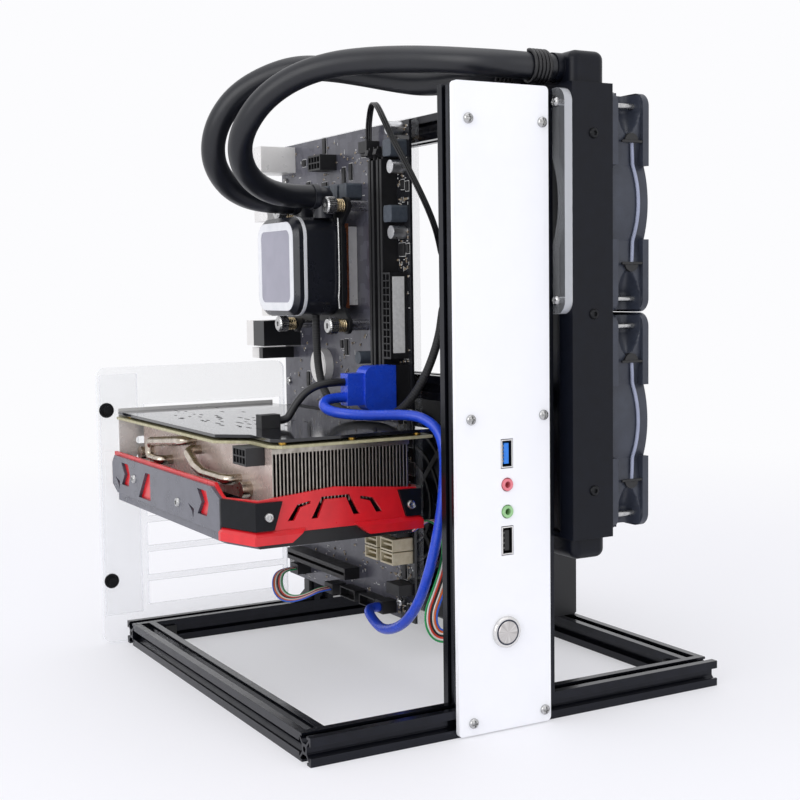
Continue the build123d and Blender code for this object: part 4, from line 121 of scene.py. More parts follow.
def plug(tree: bpy.types.NodeTree, node: bpy.types.Node, **inputs: object) -> None:
    """Links or sets a node's inputs.

    Args:
        tree: The nodes of a material or of the world.
        node: The node whose inputs are meant.
        inputs: Input names with spaces as underscores, or input_N for the Nth. A socket is linked, and a
            value is set.
    """
    for name, value in inputs.items():
        number = name.removeprefix("input_")
        socket = node.inputs[int(number)] if number != name else node.inputs[name.replace("_", " ")]
        if isinstance(value, bpy.types.NodeSocket):
            tree.links.new(value, socket)
        else:
            socket.default_value = value


def add_node(
    tree: bpy.types.NodeTree, kind: str, settings: dict | None = None,
    stops: tuple[tuple[float, str], ...] = (), blend: Blend = Blend.SMOOTH, **inputs: object,
) -> bpy.types.Node:
    """Adds one shader node, sets it and links it.

    Args:
        tree: The nodes of a material or of the world.
        kind: The node's type without its Shader prefix.
        settings: Properties of the node itself.
        stops: Places from 0 to 1 with their sRGB hex colours, for a colour ramp.
        blend: How the ramp passes between its stops.
        inputs: Inputs as plug takes them.

    Returns:
        The new node.
    """
    node = tree.nodes.new("ShaderNode" + kind)
    for name, value in (settings or {}).items():
        setattr(node, name, value)
    if stops:
        ramp = node.color_ramp
        ramp.interpolation = blend.value
        while len(ramp.elements) < len(stops):
            ramp.elements.new(1.0)
        for element, (place, colour) in zip(ramp.elements, stops):
            element.position = place
            element.color = linear(colour)
    plug(tree, node, **inputs)
    return node


def new_material(name: str) -> tuple[bpy.types.Material, bpy.types.Node]:
    """Makes an empty material.

    Args:
        name: The material's name.

    Returns:
        The material and its Principled shader, wired to the output.
    """
    material = bpy.data.materials.new(name)
    material.use_nodes = True
    tree = material.node_tree
    tree.nodes.clear()
    shader = add_node(tree, "BsdfPrincipled")
    add_node(tree, "OutputMaterial", Surface=shader.outputs["BSDF"])
    return material, shader


@dataclass(frozen=True)
class Look:
    """A material that is made once and then found by its name."""

    name: str

    def material(self) -> bpy.types.Material:
        """Finds the material, or makes it when it is first asked for.

        Returns:
            The material of this name.
        """
        found = bpy.data.materials.get(self.name)
        if found:
            return found
        material, shader = new_material(self.name)
        self.wire(material.node_tree, shader)
        return material

    def wire(self, tree: bpy.types.NodeTree, shader: bpy.types.Node) -> None:
        """Adds the nodes that give the shader its colour, gloss and relief."""
        raise NotImplementedError


@dataclass(frozen=True)
class Finish(Look):
    """A surface with two mottled tones, uneven gloss and a fine grit, in real millimetres."""

    colour: str
    shade: str
    roughness: float = 0.4
    metallic: float = 0.0
    mottle_mm: float = 3.0
    gloss_spread: float = 0.05
    grit_mm: float = 0.3
    bump_mm: float = 0.0
    coat: float = 0.0
    coat_roughness: float = 0.12
    specular: float = 0.5
    edge_mm: float = 0.35
    tone_span: Pair = (0.32, 0.68)
    gloss_span: Pair = (0.3, 0.7)
    relief: float = 0.6

    def wire(self, tree: bpy.types.NodeTree, shader: bpy.types.Node) -> None:
        """One noise mixes the tones and the gloss, a bevel rounds the edges and a finer noise lifts the grit.

        A Mapping node gives each noise its size, because a noise's own scale goes no finer than a millimetre.

        Args:
            tree: The material's nodes.
            shader: Its Principled shader.
        """
        place = add_node(tree, "TexCoord").outputs["Object"]
        size = [1 / (self.mottle_mm * MM)] * 3
        broad = add_node(tree, "Mapping", Vector=place, Scale=size).outputs["Vector"]
        mottle = add_node(tree, "TexNoise", Vector=broad, Scale=1.0, Detail=4.0, Roughness=0.6).outputs["Fac"]
        tones = zip(self.tone_span, (self.shade, self.colour))
        tone = add_node(tree, "ValToRGB", stops=tuple(tones), Fac=mottle)
        gloss = add_node(
            tree, "MapRange", Value=mottle, From_Min=self.gloss_span[0], From_Max=self.gloss_span[1],
            To_Min=self.roughness + self.gloss_spread, To_Max=self.roughness - self.gloss_spread,
        )
        normal = add_node(tree, "Bevel", {"samples": 4}, Radius=self.edge_mm * MM).outputs["Normal"]
        if self.bump_mm:
            size = [1 / (self.grit_mm * MM)] * 3
            fine = add_node(tree, "Mapping", Vector=place, Scale=size).outputs["Vector"]
            grit = add_node(tree, "TexNoise", Vector=fine, Scale=1.0, Detail=3.0).outputs["Fac"]
            depth = self.bump_mm * MM
            bump = add_node(tree, "Bump", Height=grit, Normal=normal, Distance=depth, Strength=self.relief)
            normal = bump.outputs["Normal"]
        plug(
            tree, shader, Base_Color=tone.outputs["Color"], Roughness=gloss.outputs["Result"], Normal=normal,
            Metallic=self.metallic, Coat_Weight=self.coat, Coat_Roughness=self.coat_roughness,
            Specular_IOR_Level=self.specular,
        )


@dataclass(frozen=True)
class ClearSheet(Look):
    """Cast acrylic sheet: a thin clear surface that covers only a share of what is behind it."""

    tint: str
    cover: float
    roughness: float
    haze_mm: float = 16.0
    haze_spread: Pair = (0.5, 1.5)
    refraction: float = 1.49

    def wire(self, tree: bpy.types.NodeTree, shader: bpy.types.Node) -> None:
        """A soft noise varies the gloss about its mean.

        Args:
            tree: The material's nodes.
            shader: Its Principled shader.
        """
        place = add_node(tree, "TexCoord").outputs["Object"]
        size = 1 / (self.haze_mm * MM)
        haze = add_node(tree, "TexNoise", Vector=place, Scale=size, Detail=4.0).outputs["Fac"]
        least, most = (self.roughness * share for share in self.haze_spread)
        gloss = add_node(tree, "MapRange", Value=haze, To_Min=least, To_Max=most).outputs["Result"]
        colour = linear(self.tint)
        plug(tree, shader, Roughness=gloss, Base_Color=colour, Alpha=self.cover, IOR=self.refraction)


@dataclass(frozen=True)
class CircuitBoard(Look):
    """Solder mask over copper: square-cornered fields of copper show paler, and the front strip is darker.

    Real traces are too fine to show in the render, so the fields are drawn several millimetres wide.
    """

    colour: str
    shade: str
    strip: str
    strip_y_mm: float
    roughness: float
    field_mm: float = 9.0
    pale_from: float = 0.45
    relief_mm: float = 0.03
    relief: float = 0.5

    def wire(self, tree: bpy.types.NodeTree, shader: bpy.types.Node) -> None:
        """Cells measured along the board's own directions pick the tone, and a plane across Y the strip.

        Args:
            tree: The material's nodes.
            shader: Its Principled shader.
        """
        place = add_node(tree, "TexCoord").outputs["Object"]
        settings = {"distance": "CHEBYCHEV", "voronoi_dimensions": "3D"}
        cells = add_node(tree, "TexVoronoi", settings, Vector=place, Scale=1 / (self.field_mm * MM))
        share = add_node(tree, "SeparateColor", Color=cells.outputs["Color"]).outputs["Red"]
        stops = ((0.0, self.shade), (self.pale_from, self.colour))
        tone = add_node(tree, "ValToRGB", stops=stops, blend=Blend.STEPPED, Fac=share)
        back = add_node(tree, "SeparateXYZ", Vector=place).outputs["Y"]
        edge = float(at((0.0, self.strip_y_mm, 0.0))[1])
        front = add_node(tree, "Math", {"operation": "LESS_THAN"}, input_0=back, input_1=edge)
        mixed = add_node(
            tree, "Mix", {"data_type": "RGBA"}, input_0=front.outputs["Value"],
            input_6=tone.outputs["Color"], input_7=linear(self.strip),
        )
        bump = add_node(tree, "Bump", Height=share, Distance=self.relief_mm * MM, Strength=self.relief)
        relief = bump.outputs["Normal"]
        plug(tree, shader, Base_Color=mixed.outputs[2], Roughness=self.roughness, Normal=relief)


@dataclass(frozen=True)
class TwoTone(Look):
    """Moulded body with a plated shell over its rear end: the colour changes at a plane across Y."""

    body: str
    shell: str
    plane_y_mm: float
    roughness: float = 0.35

    def wire(self, tree: bpy.types.NodeTree, shader: bpy.types.Node) -> None:
        """The side of the plane picks the colour.

        Args:
            tree: The material's nodes.
            shader: Its Principled shader.
        """
        place = add_node(tree, "TexCoord").outputs["Object"]
        back = add_node(tree, "SeparateXYZ", Vector=place).outputs["Y"]
        plane = float(at((0.0, self.plane_y_mm, 0.0))[1])
        behind = add_node(tree, "Math", {"operation": "GREATER_THAN"}, input_0=back, input_1=plane)
        stops = ((0.0, self.body), (0.5, self.shell))
        tone = add_node(tree, "ValToRGB", stops=stops, blend=Blend.STEPPED, Fac=behind.outputs["Value"])
        plug(tree, shader, Base_Color=tone.outputs["Color"], Roughness=self.roughness)


@dataclass(frozen=True)
class RadialBrushAndSheen(Look):
    """Steel face turned against an abrasive: streaks run out from the middle, drawn broad enough to show;
    they are partly the grain and partly a painted reflection, the conic sheen of the brushed face.
    """

    colour: str
    shade: str
    centre_mm: Pair
    streaks: float
    roughness: float
    tone_span: Pair = (0.3, 0.7)

    def wire(self, tree: bpy.types.NodeTree, shader: bpy.types.Node) -> None:
        """Noise on the angle about the button's axis, which lies along Y, mixes the tones into the grain and
        a painted conic sheen.

        Args:
            tree: The material's nodes.
            shader: Its Principled shader.
        """
        place = add_node(tree, "TexCoord").outputs["Object"]
        middle = at((self.centre_mm[0], 0.0, self.centre_mm[1]))
        back = (-middle[0], 0.0, -middle[2])
        shift = add_node(tree, "Mapping", Vector=place, Location=back).outputs["Vector"]
        parts = add_node(tree, "SeparateXYZ", Vector=shift).outputs
        angle = add_node(tree, "Math", {"operation": "ARCTAN2"}, input_0=parts["Z"], input_1=parts["X"])
        line = {"noise_dimensions": "1D"}
        noise = add_node(tree, "TexNoise", line, W=angle.outputs["Value"], Scale=self.streaks, Detail=6.0)
        tones = zip(self.tone_span, (self.shade, self.colour))
        tone = add_node(tree, "ValToRGB", stops=tuple(tones), Fac=noise.outputs["Fac"])
        plug(tree, shader, Base_Color=tone.outputs["Color"], Metallic=1.0, Roughness=self.roughness)


@dataclass(frozen=True)
class WireBundle(Look):
    """Flat ribbon of single PVC wires: one colour for each wire, read from the UV across the ribbon."""

    colours: tuple[str, ...]
    roughness: float = 0.42
    dust: float = 40.0
    dust_spread: float = 0.1

    def wire(self, tree: bpy.types.NodeTree, shader: bpy.types.Node) -> None:
        """Stepped colours across U, with soft dust in the gloss.

        Args:
            tree: The material's nodes.
            shader: Its Principled shader.
        """
        uv = add_node(tree, "UVMap", {"uv_map": "UVMap"}).outputs["UV"]
        across = add_node(tree, "SeparateXYZ", Vector=uv).outputs["X"]
        stops = tuple((i / len(self.colours), colour) for i, colour in enumerate(self.colours))
        tone = add_node(tree, "ValToRGB", stops=stops, blend=Blend.STEPPED, Fac=across)
        dust = add_node(tree, "TexNoise", Vector=uv, Scale=self.dust).outputs["Fac"]
        least, most = self.roughness - self.dust_spread, self.roughness + self.dust_spread
        gloss = add_node(tree, "MapRange", Value=dust, To_Min=least, To_Max=most)
        plug(tree, shader, Base_Color=tone.outputs["Color"], Roughness=gloss.outputs["Result"])


@dataclass(frozen=True)
class Braid(Look):
    """Woven nylon sleeve: strands cross in both turns round the lead, read from its UV; the hollows of the
    weave get painted shade and its crossings a painted sheen.

    Real strands are too fine to show in the render, so there are few of them and they lie steep.
    """

    colour: str
    shade: str
    strands: int = 10
    turn_mm: float = 30.0
    tone_span: Pair = (0.25, 0.85)
    relief_mm: float = 0.3
    relief: float = 0.8
    roughness: float = 0.55

    def wire(self, tree: bpy.types.NodeTree, shader: bpy.types.Node) -> None:
        """Two sine waves slant either way round the lead; their product is the weave's over and under, which
        lifts the relief and picks the tone: painted shade low, painted sheen high.

        Args:
            tree: The material's nodes.
            shader: Its Principled shader.
        """
        uv = add_node(tree, "UVMap", {"uv_map": "UVMap"}).outputs["UV"]
        parts = add_node(tree, "SeparateXYZ", Vector=uv).outputs
        turn = 2 * math.pi * self.strands
        climb = turn / (self.turn_mm * MM)
        times = {"operation": "MULTIPLY"}
        along = add_node(tree, "Math", times, input_0=parts["Y"], input_1=climb).outputs["Value"]
        about = add_node(tree, "Math", times, input_0=parts["X"], input_1=turn).outputs["Value"]
        waves = []
        for way in ("ADD", "SUBTRACT"):
            slant = add_node(tree, "Math", {"operation": way}, input_0=about, input_1=along)
            wave = add_node(tree, "Math", {"operation": "SINE"}, input_0=slant.outputs["Value"])
            waves.append(wave.outputs["Value"])
        weave = add_node(tree, "Math", times, input_0=waves[0], input_1=waves[1])
        height = add_node(tree, "MapRange", Value=weave.outputs["Value"], From_Min=-1.0, From_Max=1.0)
        # Painted shade and sheen: the weave's low parts take the dark tone and its high parts the pale one.
        tones = zip(self.tone_span, (self.shade, self.colour))
        tone = add_node(tree, "ValToRGB", stops=tuple(tones), Fac=height.outputs["Result"])
        depth = self.relief_mm * MM
        bump = add_node(tree, "Bump", Height=height.outputs["Result"], Distance=depth, Strength=self.relief)
        relief = bump.outputs["Normal"]
        plug(tree, shader, Base_Color=tone.outputs["Color"], Roughness=self.roughness, Normal=relief)


@dataclass
class Shape:
    """Points with four-sided faces, end caps and a UV for each face corner."""

    points: np.ndarray
    quads: np.ndarray
    caps: list[list[int]] = field(default_factory=list)
    uv: np.ndarray | None = None

    @classmethod
    def grid(cls, points: np.ndarray, cap: bool = False, length: float = 1.0) -> "Shape":
        """A surface from a grid of points: each cell of the grid is one face, and each ring closes on itself.

        Args:
            points: An array of stations by ring points by 3.
            cap: Whether the first and last rings are closed by flat faces.
            length: The V coordinate of the last station.

        Returns:
            The surface, with U round the ring and V along the stations.
        """
        rows, ring = points.shape[:2]
        i, j = np.meshgrid(np.arange(rows - 1), np.arange(ring), indexing="ij")
        after = (j + 1) % ring
        here, above = i * ring, (i + 1) * ring
        quads = np.stack([here + j, here + after, above + after, above + j], axis=-1)
        u = np.stack([j, j + 1, j + 1, j], axis=-1) / ring
        v = np.stack([i, i, i + 1, i + 1], axis=-1) / (rows - 1) * length
        caps = []
        if cap:
            caps = [list(range(ring))[::-1], list(range((rows - 1) * ring, rows * ring))]
        uv = np.stack([u, v], axis=-1).reshape(-1, 4, 2)
        return cls(points.reshape(-1, 3), quads.reshape(-1, 4), caps, uv)

    @classmethod
    def join(cls, shapes: list["Shape"]) -> "Shape":
        """Puts several shapes into one.

        Args:
            shapes: The shapes, with or without a UV.

        Returns:
            One shape, with a blank UV where there was none.
        """
        starts = np.cumsum([0] + [len(shape.points) for shape in shapes])
        caps = [[int(i + start) for i in cap] for shape, start in zip(shapes, starts) for cap in shape.caps]
        quads = np.concatenate([shape.quads + start for shape, start in zip(shapes, starts)])
        uv = [shape.uv if shape.uv is not None else np.zeros((len(shape.quads), 4, 2)) for shape in shapes]
        return cls(np.concatenate([shape.points for shape in shapes]), quads, caps, np.concatenate(uv))

    def piece(self, name: str, finish: Look, slot: str, sharp_deg: float = 35.0) -> bpy.types.Object:
        """Makes the shape an object that rides on the bench.

        Args:
            name: The object's name.
            finish: What gives its material.
            slot: The record's material slot that it belongs to; not used.
            sharp_deg: Edges that turn by more than this stay sharp.

        Returns:
            The new object.
        """
        mesh = bpy.data.meshes.new(name)
        mesh.from_pydata(self.points.tolist(), [], self.quads.tolist() + self.caps)
        if self.uv is not None:
            spare = sum(len(cap) for cap in self.caps)
            flat = np.concatenate([self.uv.reshape(-1), np.zeros(2 * spare)])
            mesh.uv_layers.new(name="UVMap").data.foreach_set("uv", flat)
        work = bmesh.new()
        work.from_mesh(mesh)
        bmesh.ops.remove_doubles(work, verts=work.verts, dist=MERGE_MM * MM)
        bmesh.ops.recalc_face_normals(work, faces=work.faces)
        work.to_mesh(mesh)
        work.free()
        mesh.polygons.foreach_set("use_smooth", np.ones(len(mesh.polygons), dtype=bool))
        mesh.set_sharp_from_angle(angle=math.radians(sharp_deg))
        mesh.materials.append(finish.material())
        obj = bpy.data.objects.new(name, mesh)
        bpy.context.scene.collection.objects.link(obj)
        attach(obj, BENCH)
        LOG.info("piece %s: %d points", name, len(self.points))
        return obj


def blocks(centres: np.ndarray | tuple, sizes: np.ndarray | tuple, edge: float) -> Shape:
    """Blocks with cut edges: each corner gives three points, one on each face it meets, set in by the edge.

    Args:
        centres: Block centres in drawing millimetres.
        sizes: Full sizes along X, Y and Z, one row for each block or one for all.
        edge: Width of the cut edges in millimetres.

    Returns:
        All the blocks as one shape.
    """
    centres = np.atleast_2d(np.asarray(centres, dtype=float))
    sizes = np.broadcast_to(np.asarray(sizes, dtype=float), centres.shape)
    weight = np.array([4, 2, 1])
    signs = 2.0 * (np.arange(8)[:, None] // weight % 2) - 1
    inset = 1 - np.eye(3)
    offsets = signs[None, :, None, :] * (sizes[:, None, None, :] / 2 - edge * inset[None, None])
    points = (centres[:, None, None, :] + offsets).reshape(-1, 3)
    quads = []
    for a, b, c in ((0, 1, 2), (1, 2, 0), (2, 0, 1)):
        across, beside, along = weight[[a, b, c]]
        for side in (0, across):
            quads.append([3 * (side + step) + a for step in (0, beside, beside + along, along)])
        for start in (0, across, beside, across + beside):
            low, high = 3 * start, 3 * (start + along)
            quads.append([low + a, low + b, high + b, high + a])
    count = 3 * len(signs)
    steps = np.arange(len(centres)) * count
    all_quads = (np.array(quads)[None] + steps[:, None, None]).reshape(-1, 4)
    caps = np.arange(count * len(centres)).reshape(-1, 3).tolist()
    return Shape(at(points), all_quads, caps)


def full_turn(sides: int) -> np.ndarray:
    """Even angles once round, without the last."""
    return np.linspace(0, 2 * math.pi, sides, endpoint=False)


def swept(profile: list[Pair], turn: np.ndarray) -> np.ndarray:
    """Rings of a turned piece: each radius of a profile swept round a turn, at its own height.

    Args:
        profile: Radius and height pairs, from one end to the other.
        turn: Angles of the sweep.

    Returns:
        Points across, beside and along the axis, by profile and by turn.
    """
    radius, height = np.array(profile, dtype=float).T[..., None]
    rings = np.broadcast_arrays(radius * np.cos(turn), radius * np.sin(turn), height)
    return np.stack(rings, axis=-1)


def loop_band(centre: np.ndarray, half: np.ndarray, corner: float, section: np.ndarray) -> Shape:
    """A band round a rounded rectangle across X: each quarter turn is an arc about its own corner centre.

    Args:
        centre: Middle of the loop in drawing millimetres.
        half: Half sizes along Y and Z.
        corner: Corner radius.
        section: Ring of points, outwards and along X.

    Returns:
        The closed band.
    """
    turn = np.concatenate([np.linspace(k, k + 1, CORNER_STEPS) for k in range(4)]) * math.pi / 2
    quarter = (np.repeat(np.arange(4), CORNER_STEPS) + 0.5) * math.pi / 2
    out = np.stack([np.cos(turn), np.sin(turn)], axis=1)
    middle = np.sign(np.stack([np.cos(quarter), np.sin(quarter)], axis=1)) * (half - corner)
    flat = middle[:, None] + out[:, None] * (corner + section[None, :, :1])
    along = np.broadcast_to(section[None, :, 1:], (len(turn), len(section), 1))
    points = np.concatenate([along, flat], axis=-1) + centre
    return Shape.grid(at(np.concatenate([points, points[:1]])))


def run_along(path: np.ndarray) -> np.ndarray:
    """Distance of each station of a path from its start."""
    return np.concatenate([[0.0], np.cumsum(np.linalg.norm(np.diff(path, axis=0), axis=1))])


def carried_frames(path: np.ndarray, first: Point) -> tuple[np.ndarray, np.ndarray]:
    """Directions across a path, carried along it with as little turning as possible.

    Args:
        path: Stations along the path.
        first: A direction that the first one is taken from.

    Returns:
        Two unit directions across the path at each station.
    """
    tangent = np.gradient(path, axis=0)
    tangent /= np.linalg.norm(tangent, axis=1)[:, None]
    across = np.zeros_like(path)
    side = np.asarray(first, dtype=float)
    for station, ahead in enumerate(tangent):
        side = side - ahead * (side @ ahead)
        side = side / np.linalg.norm(side)
        across[station] = side
    return across, np.cross(tangent, across)


def tube(path: np.ndarray, section: np.ndarray, first: Point) -> Shape:
    """A section carried along a path: each station adds the section along the two directions across it.

    Args:
        path: Stations in metres.
        section: Ring points across the path, in metres.
        first: A direction that the section's first axis leans to.

    Returns:
        The closed tube, with V in metres.
    """
    across, beside = carried_frames(path, first)
    points = path[:, None] + across[:, None] * section[None, :, :1] + beside[:, None] * section[None, :, 1:]
    return Shape.grid(points, cap=True, length=run_along(path)[-1])


def ring_section(radius: float, sides: int, shift: float = 0.0) -> np.ndarray:
    """A round section in metres from a radius in millimetres, shifted across."""
    turn = full_turn(sides)
    return np.stack([np.cos(turn) * radius, np.sin(turn) * radius + shift], axis=-1) * MM


def spline_path(name: str, route: tuple[Point, ...]) -> np.ndarray:
    """Stations along the smooth spline that has a route's points as its control points.

    Args:
        name: A name for the curve.
        route: Route points in drawing millimetres.

    Returns:
        The stations in metres.
    """
    curve = bpy.data.curves.new(name, "CURVE")
    curve.dimensions = "3D"
    curve.resolution_u = SPLINE_STEPS
    spline = curve.splines.new("NURBS")
    spline.points.add(len(route) - 1)
    control = np.concatenate([at(route), np.ones((len(route), 1))], axis=1)
    spline.points.foreach_set("co", control.reshape(-1))
    spline.order_u = 3
    spline.use_endpoint_u = True
    holder = bpy.data.objects.new(name, curve)
    mesh = bpy.data.meshes.new_from_object(holder)
    stations = np.zeros(len(mesh.vertices) * 3)
    mesh.vertices.foreach_get("co", stations)
    bpy.data.meshes.remove(mesh)
    bpy.data.objects.remove(holder)
    bpy.data.curves.remove(curve)
    return stations.reshape(-1, 3)


def node_box(node: str) -> tuple[np.ndarray, np.ndarray]:
    """A solid's lowest and highest corners in drawing millimetres."""
    low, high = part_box(node)
    return np.array(low) / MM + DRAWING_ORIGIN, np.array(high) / MM + DRAWING_ORIGIN


def triangles_of(node: str) -> tuple[np.ndarray, np.ndarray]:
    """A solid's triangles.

    Args:
        node: The node's name.

    Returns:
        Its points in drawing millimetres, and the numbers of each triangle's points.
    """
    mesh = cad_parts[node].data
    points = np.zeros(len(mesh.vertices) * 3)
    mesh.vertices.foreach_get("co", points)
    corners = np.zeros(len(mesh.loops), dtype=np.int32)
    mesh.loops.foreach_get("vertex_index", corners)
    return points.reshape(-1, 3) / MM + DRAWING_ORIGIN, corners.reshape(-1, 3)


def solids(node: str) -> list[tuple[np.ndarray, np.ndarray]]:
    """Boxes of a node's separate solids.

    Points at one place count as one, and each triangle gives its three points the lowest of their numbers
    until nothing changes.

    Args:
        node: The node's name.

    Returns:
        Lowest and highest corners of each solid, in drawing millimetres.
    """
    points, triangles = triangles_of(node)
    places, number = np.unique(np.round(points, 2), axis=0, return_inverse=True)
    triangles = number.reshape(-1)[triangles]
    label = np.arange(len(places))
    while True:
        before = label.copy()
        np.minimum.at(label, triangles.reshape(-1), np.repeat(label[triangles].min(axis=1), 3))
        label = label[label]
        if (label == before).all():
            break
    groups = [places[label == name] for name in np.unique(label)]
    return [(group.min(axis=0), group.max(axis=0)) for group in groups]


def seat(node: str, start: Point, ahead: Point) -> np.ndarray:
    """Where a line from a point first meets a solid.

    Args:
        node: The solid's name.
        start: The point in drawing millimetres.
        ahead: The line's direction.

    Returns:
        The meeting point in drawing millimetres.
    """
    points, triangles = triangles_of(node)
    tree = BVHTree.FromPolygons(points.tolist(), triangles.tolist())
    return np.array(tree.ray_cast(Vector(start), Vector(ahead))[0])


def paint(node: str, finish: Look, choose: Callable[[np.ndarray, np.ndarray], np.ndarray]) -> None:
    """Gives some faces of a solid a finish of their own.

    Args:
        node: The solid's name.
        finish: What gives their material.
        choose: Takes the faces' middles in drawing millimetres and their directions, each as rows of X, Y
            and Z, and says which faces are meant.
    """
    points, triangles = triangles_of(node)
    corner = points[triangles]
    normal = np.cross(corner[:, 1] - corner[:, 0], corner[:, 2] - corner[:, 0])
    normal /= np.maximum(np.linalg.norm(normal, axis=1), 1e-12)[:, None]
    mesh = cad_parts[node].data
    number = np.zeros(len(mesh.polygons), dtype=np.int32)
    mesh.polygons.foreach_get("material_index", number)
    mesh.materials.append(finish.material())
    number[choose(corner.mean(axis=1).T, normal.T)] = len(mesh.materials) - 1
    mesh.polygons.foreach_set("material_index", number)


def aimed(right: np.ndarray, over: np.ndarray, ahead: np.ndarray, place: np.ndarray | Point) -> Matrix:
    """The placing of a camera or lamp that looks ahead from a place.

    Args:
        right: Its direction to the right.
        over: Its direction up.
        ahead: Where it looks.
        place: Where it stands, in metres.

    Returns:
        The matrix, with these directions as its columns.
    """
    turn = np.eye(4)
    turn[:3, :3] = np.stack([right, over, -ahead], axis=1)
    turn[:3, 3] = place
    return Matrix(turn.tolist())


@dataclass(frozen=True)
class Viewpoint:
    """The camera, solved from the standard sizes of the pieces; angles in degrees."""

    eye: Point = (-284.9, -602.9, 239.7)
    yaw: float = 29.34
    pitch: float = 4.77
    roll: float = -0.79
    focal_px: float = 1365.2
    image_px: float = 800.0
    sensor_mm: float = 36.0
    clip_start: float = 0.01

    def place(self) -> None:
        """Makes the camera and looks through it."""
        yaw, pitch, roll = np.radians([self.yaw, self.pitch, self.roll])
        ahead = np.array([np.sin(yaw) * np.cos(pitch), np.cos(yaw) * np.cos(pitch), -np.sin(pitch)])
        level = np.array([np.cos(yaw), -np.sin(yaw), 0.0])
        up = np.cross(level, ahead)
        right = level * np.cos(roll) + up * np.sin(roll)
        over = up * np.cos(roll) - level * np.sin(roll)
        data = bpy.data.cameras.new("camera")
        data.sensor_width = self.sensor_mm
        data.lens = self.focal_px / self.image_px * self.sensor_mm
        data.clip_start = self.clip_start
        camera = bpy.data.objects.new("camera", data)
        bpy.context.scene.collection.objects.link(camera)
        camera.matrix_world = aimed(right, over, ahead, at(self.eye))
        bpy.context.scene.camera = camera


@dataclass(frozen=True)
class Lamp:
    """One soft panel of light, aimed at a point of the bench from off to one side; metres and watts."""

    name: str
    place: Point
    target: Point
    size: float
    power: float

    def hang(self) -> None:
        """Makes the lamp and turns it to its target."""
        data = bpy.data.lights.new(self.name, "AREA")
        data.size = self.size
        data.energy = self.power
        obj = bpy.data.objects.new(self.name, data)
        bpy.context.scene.collection.objects.link(obj)
        ahead = np.array(self.target) - np.array(self.place)
        ahead = ahead / np.linalg.norm(ahead)
        side = np.cross(ahead, (0.0, 0.0, 1.0))
        side = side / np.linalg.norm(side)
        obj.matrix_world = aimed(side, np.cross(side, ahead), ahead, self.place)


@dataclass(frozen=True)
class Studio:
    """Plain pale floor, white surroundings and large soft lamps."""

    floor_half: float = 12.0
    floor_colour: str = "#f1f1f8"
    floor_roughness: float = 0.6
    floor_gloss: float = 0.2
    sky_colour: str = "#fcfcfe"
    sky_strength: float = 0.84
    fade: Pair = (0.35, 1.25)
    paper_glow: float = 0.40
    lamps: tuple[Lamp, ...] = (
        Lamp("top_panel", (-0.15, -0.1, 1.9), (0.0, 0.0, 0.1), 1.7, 8.0),
        Lamp("left_panel", (-1.7, -0.7, 0.8), (0.0, 0.0, 0.2), 1.3, 11.0),
        Lamp("front_panel_lamp", (0.5, -2.0, 0.8), (0.0, 0.0, 0.2), 1.4, 2.4),
    )

    def build(self) -> None:
        """Makes the floor, the world and the lamps."""
        bpy.context.scene.view_settings.view_transform = "Standard"
        self.floor()
        self.world()
        for lamp in self.lamps:
            lamp.hang()

    def floor(self) -> None:
        """A flat sheet of white paper under the bench, which fades into the white around it."""
        half = self.floor_half
        mesh = bpy.data.meshes.new("floor")
        corners = [(-half, -half, 0), (half, -half, 0), (half, half, 0), (-half, half, 0)]
        mesh.from_pydata(corners, [], [(0, 1, 2, 3)])
        material, shader = new_material("floor_paper")
        tree = material.node_tree
        plug(
            tree, shader, Base_Color=linear(self.floor_colour), Roughness=self.floor_roughness,
            Specular_IOR_Level=self.floor_gloss,
        )
        place = add_node(tree, "TexCoord").outputs["Object"]
        away = add_node(tree, "VectorMath", {"operation": "LENGTH"}, input_0=place).outputs["Value"]
        faded = add_node(
            tree, "MapRange", {"interpolation_type": "SMOOTHSTEP"},
            Value=away, From_Min=self.fade[0], From_Max=self.fade[1], To_Min=self.paper_glow,
        ).outputs["Result"]
        share = add_node(tree, "Math", {"operation": "MULTIPLY"}, input_0=faded, input_1=self.seen(tree))
        glow = add_node(tree, "Emission", Color=linear(self.sky_colour), Strength=1.0).outputs["Emission"]
        mixed = add_node(
            tree, "MixShader", input_0=share.outputs["Value"], input_1=shader.outputs["BSDF"], input_2=glow,
        )
        plug(tree, tree.nodes["Material Output"], Surface=mixed.outputs["Shader"])
        mesh.materials.append(material)
        obj = bpy.data.objects.new("floor", mesh)
        bpy.context.scene.collection.objects.link(obj)

    def seen(self, tree: bpy.types.NodeTree) -> bpy.types.NodeSocket:
        """One for rays from the camera, from gloss and through clear sheets, and nought for the rest.

        Args:
            tree: The nodes of the floor's material or of the world.

        Returns:
            The output that carries the number.
        """
        path = add_node(tree, "LightPath").outputs
        most = path["Is Camera Ray"]
        for kind in ("Is Transmission Ray", "Is Glossy Ray"):
            larger = add_node(tree, "Math", {"operation": "MAXIMUM"}, input_0=most, input_1=path[kind])
            most = larger.outputs["Value"]
        return most

    def world(self) -> None:
        """White to the camera, to gloss and through clear sheets, and a plain soft light otherwise."""
        world = bpy.data.worlds.new("studio")
        world.use_nodes = True
        tree = world.node_tree
        tree.nodes.clear()
        strength = add_node(
            tree, "MapRange", Value=self.seen(tree), To_Min=self.sky_strength, To_Max=1.0,
        ).outputs["Result"]
        light = add_node(tree, "Background", Color=linear(self.sky_colour), Strength=strength)
        add_node(tree, "OutputWorld", Surface=light.outputs["Background"])
        bpy.context.scene.world = world


# Anodised rails: nearly black, with long soft streaks of light along their lips.
BLACK_ANODISED = Finish(
    "black_anodised_aluminium", "#1a1c25", "#13151c", roughness=0.20, metallic=0.55, mottle_mm=9.0,
    gloss_spread=0.04, grit_mm=0.25, bump_mm=0.003,
)
# Powder coat: a fine orange peel that breaks up reflections.
BLACK_COATED = Finish(
    "black_powder_coat", "#16171a", "#0f1012", roughness=0.42, mottle_mm=5.0, gloss_spread=0.06, grit_mm=0.35,
    bump_mm=0.02,
)
